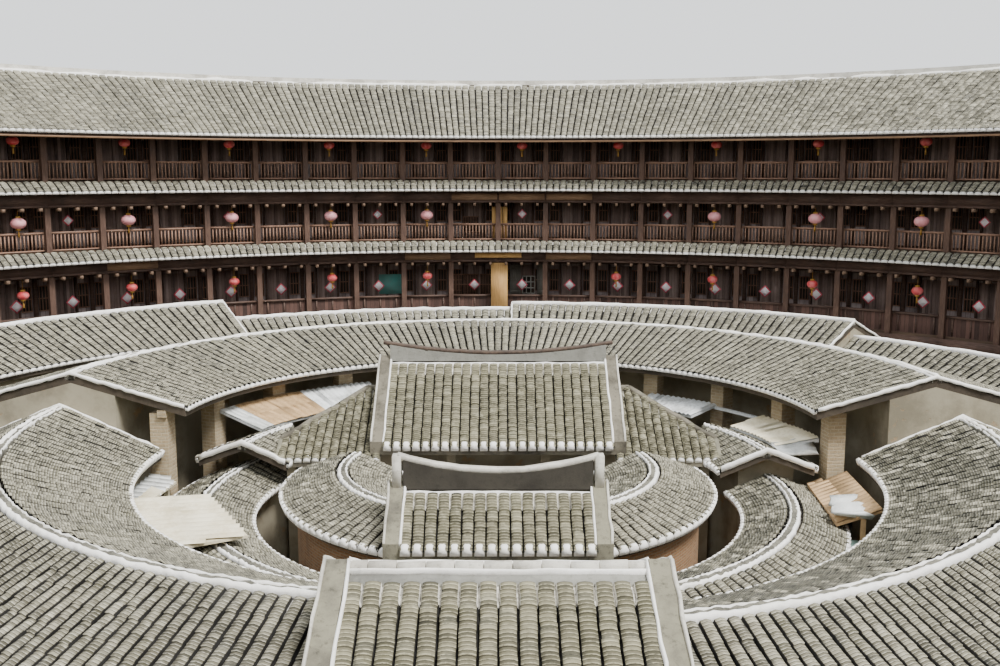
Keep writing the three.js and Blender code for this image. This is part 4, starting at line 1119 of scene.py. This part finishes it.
class HOUSE_OT_hall_roofs(bpy.types.Operator):
    """Tiles the gate hall and the main hall under their curved ridges"""

    bl_idname = "house.hall_roofs"
    bl_label = "Hall roofs"

    def execute(self, context):
        row = context.scene.house_sizes.hall_row
        for name, hall, count, seed in (("gate_hall", GATE_HALL, 16, 251), ("main_hall", MAIN_HALL, 24, 255)):
            tile_hall(name, hall, count, 0.16, seed, row)
            half = hall["half"] - VERGE_WIDTH
            fillets = along_ridge(hall, 0.17, half, rounded(0.05, 0.1, 0.06), seed + 2)
            fillets += down_verges(hall, half - 0.02, rounded(0.05, 0.09, 0.05), seed + 3, 0.06)
            lay_mortar(f"{name}_ridge_fillets", fillets)
            edges = down_verges(hall, hall["half"] - 0.02, rounded(0.05, 0.04, 0.04), seed + 8, VERGE_HEIGHT)
            lay_mortar(f"{name}_verge_edges", edges, "cap lime")
        cap = flat_section(0.2, -0.02, 0.08, 0.015)
        gate_cap = curved_cap(GATE_HALL, VERGE_WIDTH - 0.1, 0.3, 0.57, cap, 261)
        y, z = GATE_HALL["ridge_y"], GATE_HALL["ridge"]
        stops = [plain_box((x - 0.08, x + 0.08), (y - 0.13, y + 0.13), (z, z + 0.62)) for x in (-1.84, 1.84)]
        lay_mortar("gate_hall_ridge_cap", [gate_cap, *stops], "cap lime")
        cap = flat_section(0.24, -0.01, 0.06, 0.015)
        main_cap = curved_cap(MAIN_HALL, VERGE_WIDTH - 0.16, 0.17, 0.42, cap, 262)
        lay_tiles("main_hall_ridge_cap", main_cap, "brown tile")
        return {"FINISHED"}


class HOUSE_OT_wing_roofs(bpy.types.Operator):
    """Tiles the hipped roofs of the two wings and lays their hip bands"""

    bl_idname = "house.wing_roofs"
    bl_label = "Wing roofs"

    def execute(self, context):
        row = context.scene.house_sizes.hall_row
        eave_in, eave_out = (2.67, 1.2, 3.1), (5.0, 1.2, 3.1)
        shoulder, hip_top, ridge_in = (5.0, 1.8, 3.39), (3.2, 3.55, 4.25), (2.67, 3.55, 4.25)
        corner, back_corner, back_in = (5.0, 3.3, 3.1), (4.2, 4.25, 3.1), (2.67, 5.35, 3.1)
        faces = (
            (eave_in, eave_out, shoulder, hip_top, ridge_in),
            (shoulder, corner, hip_top),
            (corner, back_corner, hip_top),
            (back_corner, back_in, ridge_in, hip_top),
        )
        hips = ((shoulder, hip_top), (corner, hip_top), (back_corner, hip_top))
        for name, side in (("left", -1), ("right", 1)):
            flip = np.array([side, 1, 1])
            columns = [c for face in faces for c in plane_columns(np.array(face) * flip, 0.2)]
            tiles = [c.tiles(row, MID_SECTION, 270 + i) for i, c in enumerate(columns)]
            lay_tiles(f"wing_{name}_tiles", tiles, "hall tile")
            lay_mortar(f"wing_{name}_plugs", [c.plugs(0.88, 0.09) for c in columns])
            band = flat_section(0.16, -0.06, 0.11)
            bands = [path_bead(np.array(hip) * flip, band, 0.012, 280 + i) for i, hip in enumerate(hips)]
            ridge = np.array((hip_top, ridge_in)) * flip
            bands.append(path_bead(ridge, flat_section(0.16, -0.06, 0.12), 0.012, 285))
            lay_mortar(f"wing_{name}_hip_bands", bands, "rough lime")
            edge = path_bead(np.array((eave_out, shoulder)) * flip, flat_section(0.12, -0.04, 0.1), 0.01, 288)
            lay_mortar(f"wing_{name}_verge", edge, "verge lime")
        return {"FINISHED"}


class HOUSE_OT_galleries(bpy.types.Operator):
    """Builds the railings, the parapet's rail, and the beams and joist ends below each gallery"""

    bl_idname = "house.galleries"
    bl_label = "Galleries"

    def execute(self, context):
        count = context.scene.house_sizes.baluster_count
        chord, flat = RAIL_RADIUS * CHORD, RAIL_RADIUS * NEARNESS
        spread = chord - 0.1
        side = (np.arange(count) + 0.5) / count * spread - spread / 2
        ones = np.ones(count * BAYS)
        for number in (3, 4):
            floor = STOREYS[number - 1]
            parts = [boxes(MIDDLES, (0, flat, floor + z), (chord, 0.07, thick))
                     for z, thick in ((0.08, 0.06), (0.71, 0.08))]
            local = np.stack([np.tile(side, BAYS), ones * flat, ones * (floor + 0.39)], -1)
            parts.append(boxes(np.repeat(MIDDLES, count), local, (0.045, 0.04, 0.58)))
            made = fit_timber(f"gallery_railing_{number}", parts, "rail")
            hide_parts(f"railing_{number}")
        top_rail = boxes(MIDDLES, (0, flat - 0.04, STOREYS[1] + 0.72), (chord, 0.12, 0.08))
        battens = boxes(THIRDS, (0, flat - 0.04, STOREYS[1] + 0.36), (0.06, 0.04, 0.66))
        fit_timber("parapet_rail_and_battens", [top_rail, battens], "beam")
        width, face = BEAM_RADIUS * CHORD, BEAM_RADIUS * NEARNESS
        for number, (low, high) in BEAMS.items():
            beam = boxes(MIDDLES, (0, face, (low + high) / 2), (width, 0.05, high - low))
            ledge = boxes(MIDDLES, (0, face - 0.03, low + 0.05), (width, 0.1, 0.07))
            fit_timber(f"gallery_beam_{number}", [beam, ledge], "beam")
            ends = boxes(THIRDS, (0, BEAM_RADIUS - 0.09, low - 0.06), (0.1, 0.32, 0.12))
            fit_timber(f"gallery_joist_ends_{number}", ends, "joist end")
        pale = [boxes(azimuth, (0, face - 0.04, (low + high) / 2), (1.9, 0.03, high - low))
                for azimuth, low, high in PALE_BEAM_BOARDS]
        fit_timber("replaced_beam_boards", pale, "pale board")
        return {"FINISHED"}


class HOUSE_OT_new_pine(bpy.types.Operator):
    """Puts up the new pine boards at the middle of the back galleries"""

    bl_idname = "house.new_pine"
    bl_label = "New pine boards"

    def execute(self, context):
        boards = [
            plain_box((-0.3, 0.4), (22.66, 22.73), (3.64, 5.75)),
            plain_box((-0.98, 0.98), (22.58, 22.64), (5.98, 6.2)),
        ]
        boards += [plain_box((x, x + 0.2), (23.07, 23.1), (6.77, 8.09)) for x in (-0.26, -0.03, 0.19)]
        fit_timber("new_pine_boards", boards, "pine")
        return {"FINISHED"}


class HOUSE_OT_room_fronts(bpy.types.Operator):
    """Adds studs, rails, doors and narrow lattices to the room fronts of every storey"""

    bl_idname = "house.room_fronts"
    bl_label = "Room fronts"

    def execute(self, context):
        face = FRONT_RADIUS * NEARNESS
        for number, floor in enumerate(STOREYS, 1):
            high = (STOREYS[number] - 0.3 if number < 4 else TOP_BEAM) - floor
            bays = MIDDLES[np.abs((MIDDLES + 180) % 360) > 4] if number == 1 else MIDDLES
            posts = POSTS[POSTS != 180] if number == 1 else POSTS
            put = partial(in_bays, bays, face, floor)
            studs = [
                boxes(posts, (0, FRONT_RADIUS - 0.05, floor + high / 2), (0.15, 0.08, high)),
                put(0, -0.04, 2.02, (2.0, 0.07, 0.1)),
                put(0, -0.04, 0.05, (2.0, 0.06, 0.1)),
            ]
            studs += [put(side, -0.04, 0.98, (0.08, 0.06, 1.96)) for side in (-0.46, 0.46)]
            fit_timber(f"front_frames_{number}", studs, "beam")
            leaves = [put(0, 0.03, 0.96, (0.82, 0.04, 1.84))]
            leaves += [put(side, -0.01, 0.96, (0.38, 0.02, 1.8)) for side in (-0.2, 0.2)]
            fit_timber(f"door_leaves_{number}", leaves, "door boards")
            panes, bars = [], []
            for side in (-0.74, 0.74):
                panes.append(put(side, -0.012, 1.25, (0.4, 0.02, 0.95)))
                bars += [put(side + across, -0.035, 1.25, (0.03, 0.03, 0.95))
                         for across in (-0.17, -0.06, 0.06, 0.17)]
                bars += [put(side, -0.04, 1.25 + up, (0.42, 0.03, 0.035)) for up in (-0.46, 0.0, 0.46)]
            fit_timber(f"lattice_shadows_{number}", panes, "window dark")
            fit_timber(f"lattice_bars_{number}", bars, "lattice")
        return {"FINISHED"}


class HOUSE_OT_middle_windows(bpy.types.Operator):
    """Fits the wider lattices, the shutters and the painted panel of the rooms at the back"""

    bl_idname = "house.middle_windows"
    bl_label = "Windows at the back"

    def execute(self, context):
        panes, bars = [], []
        back, front = (BACK_FACE - 0.02, BACK_FACE), (BACK_FACE - 0.05, BACK_FACE - 0.02)
        rail = (BACK_FACE - 0.06, BACK_FACE - 0.02)
        for x0, x1, z0, z1 in BACK_LATTICES:
            panes.append(plain_box((x0, x1), back, (z0, z1)))
            uprights, levels = np.arange(x0, x1 + 0.01, 0.07), (z0, (z0 + z1) / 2, z1)
            bars += [plain_box((x - 0.015, x + 0.015), front, (z0, z1)) for x in uprights]
            bars += [plain_box((x0 - 0.03, x1 + 0.03), rail, (z - 0.02, z + 0.02)) for z in levels]
        fit_timber("back_lattice_shadows", panes, "window dark")
        fit_timber("back_lattice_bars", bars, "lattice")
        leaves, batten = ((0.51, 0.99), (1.7, 2.16)), (BACK_FACE - 0.09, BACK_FACE - 0.06)
        shutters = [plain_box(leaf, rail, (4.22, 5.53)) for leaf in leaves]
        shutters += [plain_box((x0 + 0.04, x1 - 0.04), batten, (z, z + 0.06))
                     for x0, x1 in leaves for z in (4.35, 4.85, 5.35)]
        fit_timber("grey_shutters", shutters, "grey board")
        bar = (BACK_FACE - 0.07, BACK_FACE - 0.03)
        white = [plain_box((x - 0.02, x + 0.02), bar, (4.26, 5.05)) for x in (1.07, 1.24, 1.43, 1.6)]
        white += [plain_box((1.05, 1.62), bar, (z - 0.02, z + 0.02)) for z in (4.28, 4.52, 4.78, 5.03)]
        fit_timber("white_window_bars", white, "white paint")
        # a dark pane behind the white bars, painted shade of the room behind
        pane = plain_box((1.05, 1.62), (BACK_FACE - 0.03, BACK_FACE), (4.26, 5.05))
        fit_timber("white_window_pane", pane, "window dark")
        panel = boxes(-11.1, (0, 24.32, 4.73), (1.0, 0.04, 0.85))
        make_object("painted_panel", panel, "turquoise")
        return {"FINISHED"}


class HOUSE_OT_paper_squares(bpy.types.Operator):
    """Hangs bare paper squares on their corners in front of the doors"""

    bl_idname = "house.paper_squares"
    bl_label = "Paper squares"

    def execute(self, context):
        for number, every, width in ((2, 1, 0.36), (3, 3, 0.3)):
            bays = MIDDLES[::every]
            height = STOREYS[number - 1] + 1.12
            red = boxes(bays, (0, PAPER_RADIUS, height), (width, 0.02, width), 45)
            hang_sheet(f"paper_squares_{number}", red, "square paper")
            pale = boxes(bays, (0, PAPER_RADIUS - 0.015, height), (width * 0.76, 0.01, width * 0.76), 45)
            hang_sheet(f"paper_square_middles_{number}", pale, "pale paper")
            low, high = height + width * 0.7, STOREYS[number] - 0.3
            cords = boxes(bays, (0, PAPER_RADIUS, (low + high) / 2), (0.012, 0.012, high - low))
            hang_sheet(f"paper_square_cords_{number}", cords, "beam")
        return {"FINISHED"}


class HOUSE_OT_lanterns(bpy.types.Operator):
    """Hangs a ribbed paper lantern in every second bay of each gallery"""

    bl_idname = "house.lanterns"
    bl_label = "Lanterns"

    def execute(self, context):
        width = context.scene.house_sizes.lantern_width
        for number, (height, grow, look, missing) in LANTERNS.items():
            azimuths = [a for a in np.arange(2.5, 360, 10) if a not in missing]
            spots = turn(np.array(azimuths), LANTERN_RADIUS, height)
            r = width * grow / 2
            tall = 0.17 * grow
            body = [(r * math.cos(t) + 0.03, tall * math.sin(t)) for t in np.linspace(-1.35, 1.35, 8)]
            hang_sheet(f"lanterns_{number}", copies(lathe(body, 12), spots), look)
            cap = lathe([(0.09, tall - 0.01), (0.09, tall + 0.05), (0.05, tall + 0.06)], 8)
            foot = lathe([(0.05, -tall - 0.06), (0.09, -tall - 0.05), (0.09, -tall + 0.01)], 8)
            tassel = lathe([(0.035, -tall - 0.3), (0.03, -tall - 0.16), (0.012, -tall - 0.05)], 6)
            cord = lathe([(0.01, tall + 0.05), (0.01, tall + 0.45)], 4)
            trims = [copies(shape, spots) for shape in (cap, foot, tassel, cord)]
            hang_sheet(f"lantern_trims_{number}", trims, "gilt")
        return {"FINISHED"}


class HOUSE_OT_outer_openings(bpy.types.Operator):
    """Frames and bars the small outer windows and frames the gate"""

    bl_idname = "house.outer_openings"
    bl_label = "Outer windows and gate"

    def execute(self, context):
        bays = np.array([a for a in np.arange(2.5, 360, 5) if self.has_window(a)])
        for number, width, sill, high in ((3, 0.55, 0.75, 0.75), (4, 0.75, 0.7, 0.95)):
            middle = STOREYS[number - 1] + sill + high / 2
            put = partial(in_bays, bays, WINDOW_RADIUS, middle)
            across, level = width / 2 - 0.03, high / 2 - 0.03
            parts = [put(side, 0, 0, (0.05, 0.3, high)) for side in (-across, across)]
            parts += [put(0, 0, up, (width - 0.1, 0.3, 0.05)) for up in (-level, level)]
            parts += [put(side, -0.02, 0, (0.035, 0.04, high - 0.1)) for side in (-0.14, 0.0, 0.14)]
            fit_timber(f"outer_window_frames_{number}", parts, "joist end")
        gate = [plain_box(jamb, GATE_DEPTH, (0, 3.08)) for jamb in ((-1.13, -0.97), (0.97, 1.13))]
        gate.append(plain_box((-0.97, 0.97), GATE_DEPTH, (2.9, 3.08)))
        fit_timber("gate_frame", gate, "joist end")
        return {"FINISHED"}

    @staticmethod
    def has_window(azimuth):
        """Windows lie in every second bay, counted from the middle of each stretch of the wall."""
        first = -57.5 if azimuth < 180 or azimuth > 300 else 187.5
        return (azimuth - first) % 10 < 0.1 and not 177 < azimuth < 183


class HOUSE_OT_canopies(bpy.types.Operator):
    """Lays the corrugated sheets, planks, glass and loose plastic of the lean-to canopies"""

    bl_idname = "house.canopies"
    bl_label = "Canopies"

    def execute(self, context):
        back_left = [((-66, -62), 0.5, PLANK, "white plastic"), ((-62, -45), 0.22, PLANK, "tan plank"),
                     ((-45, -28.5), 0.15, WAVE, "grey sheet")]
        back_right = [((34, 50), 0.15, WAVE, "grey sheet"), ((62, 80), 0.15, WAVE, "cream sheet")]
        jobs = [("left", (6.15, 3.5), (7.34, 3.85), *job) for job in back_left]
        jobs += [("right", (6.35, 3.46), (7.34, 3.6), *job) for job in back_right]
        for number, (side, inner, outer, (start, end), pitch, section, look) in enumerate(jobs):
            gable = Gable(inner, outer, (8.0, 3.0), start, end)
            columns = ring_columns(gable, "inner", pitch, eave=0.04)
            hang_sheet(f"canopy_back_{side}_sheet_{number}", columns.tiles(1.5, section, 300), look)
        for name, sheets in FLAT_SHEETS.items():
            for number, (corners, pitch, section, look) in enumerate(sheets):
                spots = np.array([turn(azimuth, radius, height) for radius, azimuth, height in corners])
                ribs = [columns.tiles(3.0, section, 5) for columns in plane_columns(spots, pitch)]
                hang_sheet(f"{name}_sheet_{number}", ribs, look)
        rng = np.random.default_rng(310)
        for name, (start, end, inner, outer, low, high) in LOOSE_PLASTIC.items():
            steps = arc_steps(start, end, 0.6)
            width = outer - inner
            section = np.array([(-width / 2, -0.02), (width / 2, -0.02), (width / 2, 0.04), (width / 6, 0.09),
                                (-width / 6, 0.05), (-width / 2, 0.03)])
            rise = np.linspace(low, high, len(steps)) + rng.normal(0, 0.03, len(steps))
            spots = (len(steps), len(section))
            radius = (inner + outer) / 2 + section[:, 0] + rng.normal(0, 0.03, spots)
            rings = turn(steps[:, None], radius, rise[:, None] + section[:, 1] + rng.normal(0, 0.02, spots))
            hang_sheet(name, skin(rings), "white plastic")
        return {"FINISHED"}


class HOUSE_OT_stage(bpy.types.Operator):
    """Sets the floor, the soft light and the camera at the photograph's view"""

    bl_idname = "house.stage"
    bl_label = "Stage"

    def execute(self, context):
        sizes = context.scene.house_sizes
        mesh = bpy.data.meshes.new("studio_floor")
        corners = [(x * STAGE_REACH, y * STAGE_REACH, 0) for x, y in ((-1, -1), (1, -1), (1, 1), (-1, 1))]
        mesh.from_pydata(corners, [], [(0, 1, 2, 3)])
        mesh.materials.append(finish("floor"))
        floor = bpy.data.objects.new("studio_floor", mesh)
        floor.location.z = -0.002
        context.scene.collection.objects.link(floor)
        world = bpy.data.worlds.new("soft studio sky")
        world.use_nodes = True
        background = world.node_tree.nodes["Background"]
        background.inputs[0].default_value = linear("#eef1f3")
        background.inputs[1].default_value = sizes.sky_strength
        context.scene.world = world
        key = bpy.data.lights.new("key", "SUN")
        key.energy = sizes.key_strength
        key.angle = math.radians(16)
        key.color = (1.0, 0.98, 0.95)
        lamp = bpy.data.objects.new("key", key)
        lamp.rotation_euler = (math.radians(34), 0.0, math.radians(46))
        context.scene.collection.objects.link(lamp)
        lens = bpy.data.cameras.new("camera")
        lens.sensor_width = SENSOR
        lens.lens = FOCAL_PIXELS / PICTURE_WIDTH * SENSOR
        lens.clip_end = 500
        camera = bpy.data.objects.new("camera", lens)
        camera.location = [c * K for c in EYE]
        camera.rotation_euler = (math.radians(90 - PITCH), 0.0, math.radians(-YAW))
        context.scene.collection.objects.link(camera)
        context.scene.camera = camera
        return {"FINISHED"}


class HOUSE_PT_panel(bpy.types.Panel):
    """The house's steps in the sidebar"""

    bl_label = "Round earth house"
    bl_idname = "HOUSE_PT_panel"
    bl_space_type = "VIEW_3D"
    bl_region_type = "UI"
    bl_category = "Earth house"

    def draw(self, context):
        for operator in OPERATORS:
            self.layout.operator(operator.bl_idname)


OPERATORS = (
    HOUSE_OT_stage,
    HOUSE_OT_cad_finishes,
    HOUSE_OT_great_roof,
    HOUSE_OT_pent_roofs,
    HOUSE_OT_ring_c_roofs,
    HOUSE_OT_inner_ring_roofs,
    HOUSE_OT_passage_roof,
    HOUSE_OT_hall_roofs,
    HOUSE_OT_wing_roofs,
    HOUSE_OT_galleries,
    HOUSE_OT_new_pine,
    HOUSE_OT_room_fronts,
    HOUSE_OT_middle_windows,
    HOUSE_OT_paper_squares,
    HOUSE_OT_lanterns,
    HOUSE_OT_outer_openings,
    HOUSE_OT_canopies,
)
CLASSES = (HouseSizes, *OPERATORS, HOUSE_PT_panel)


def register():
    for made in CLASSES:
        bpy.utils.register_class(made)
    bpy.types.Scene.house_sizes = bpy.props.PointerProperty(type=HouseSizes)


def unregister():
    del bpy.types.Scene.house_sizes
    for made in reversed(CLASSES):
        bpy.utils.unregister_class(made)


def main():
    register()
    bpy.ops.house.stage()
    bpy.ops.house.cad_finishes()
    bpy.ops.house.great_roof()
    bpy.ops.house.pent_roofs()
    bpy.ops.house.ring_c_roofs()
    bpy.ops.house.inner_ring_roofs()
    bpy.ops.house.passage_roof()
    bpy.ops.house.hall_roofs()
    bpy.ops.house.wing_roofs()
    bpy.ops.house.galleries()
    bpy.ops.house.new_pine()
    bpy.ops.house.room_fronts()
    bpy.ops.house.middle_windows()
    bpy.ops.house.paper_squares()
    bpy.ops.house.lanterns()
    bpy.ops.house.outer_openings()
    bpy.ops.house.canopies()


if __name__ == "__main__":
    main()
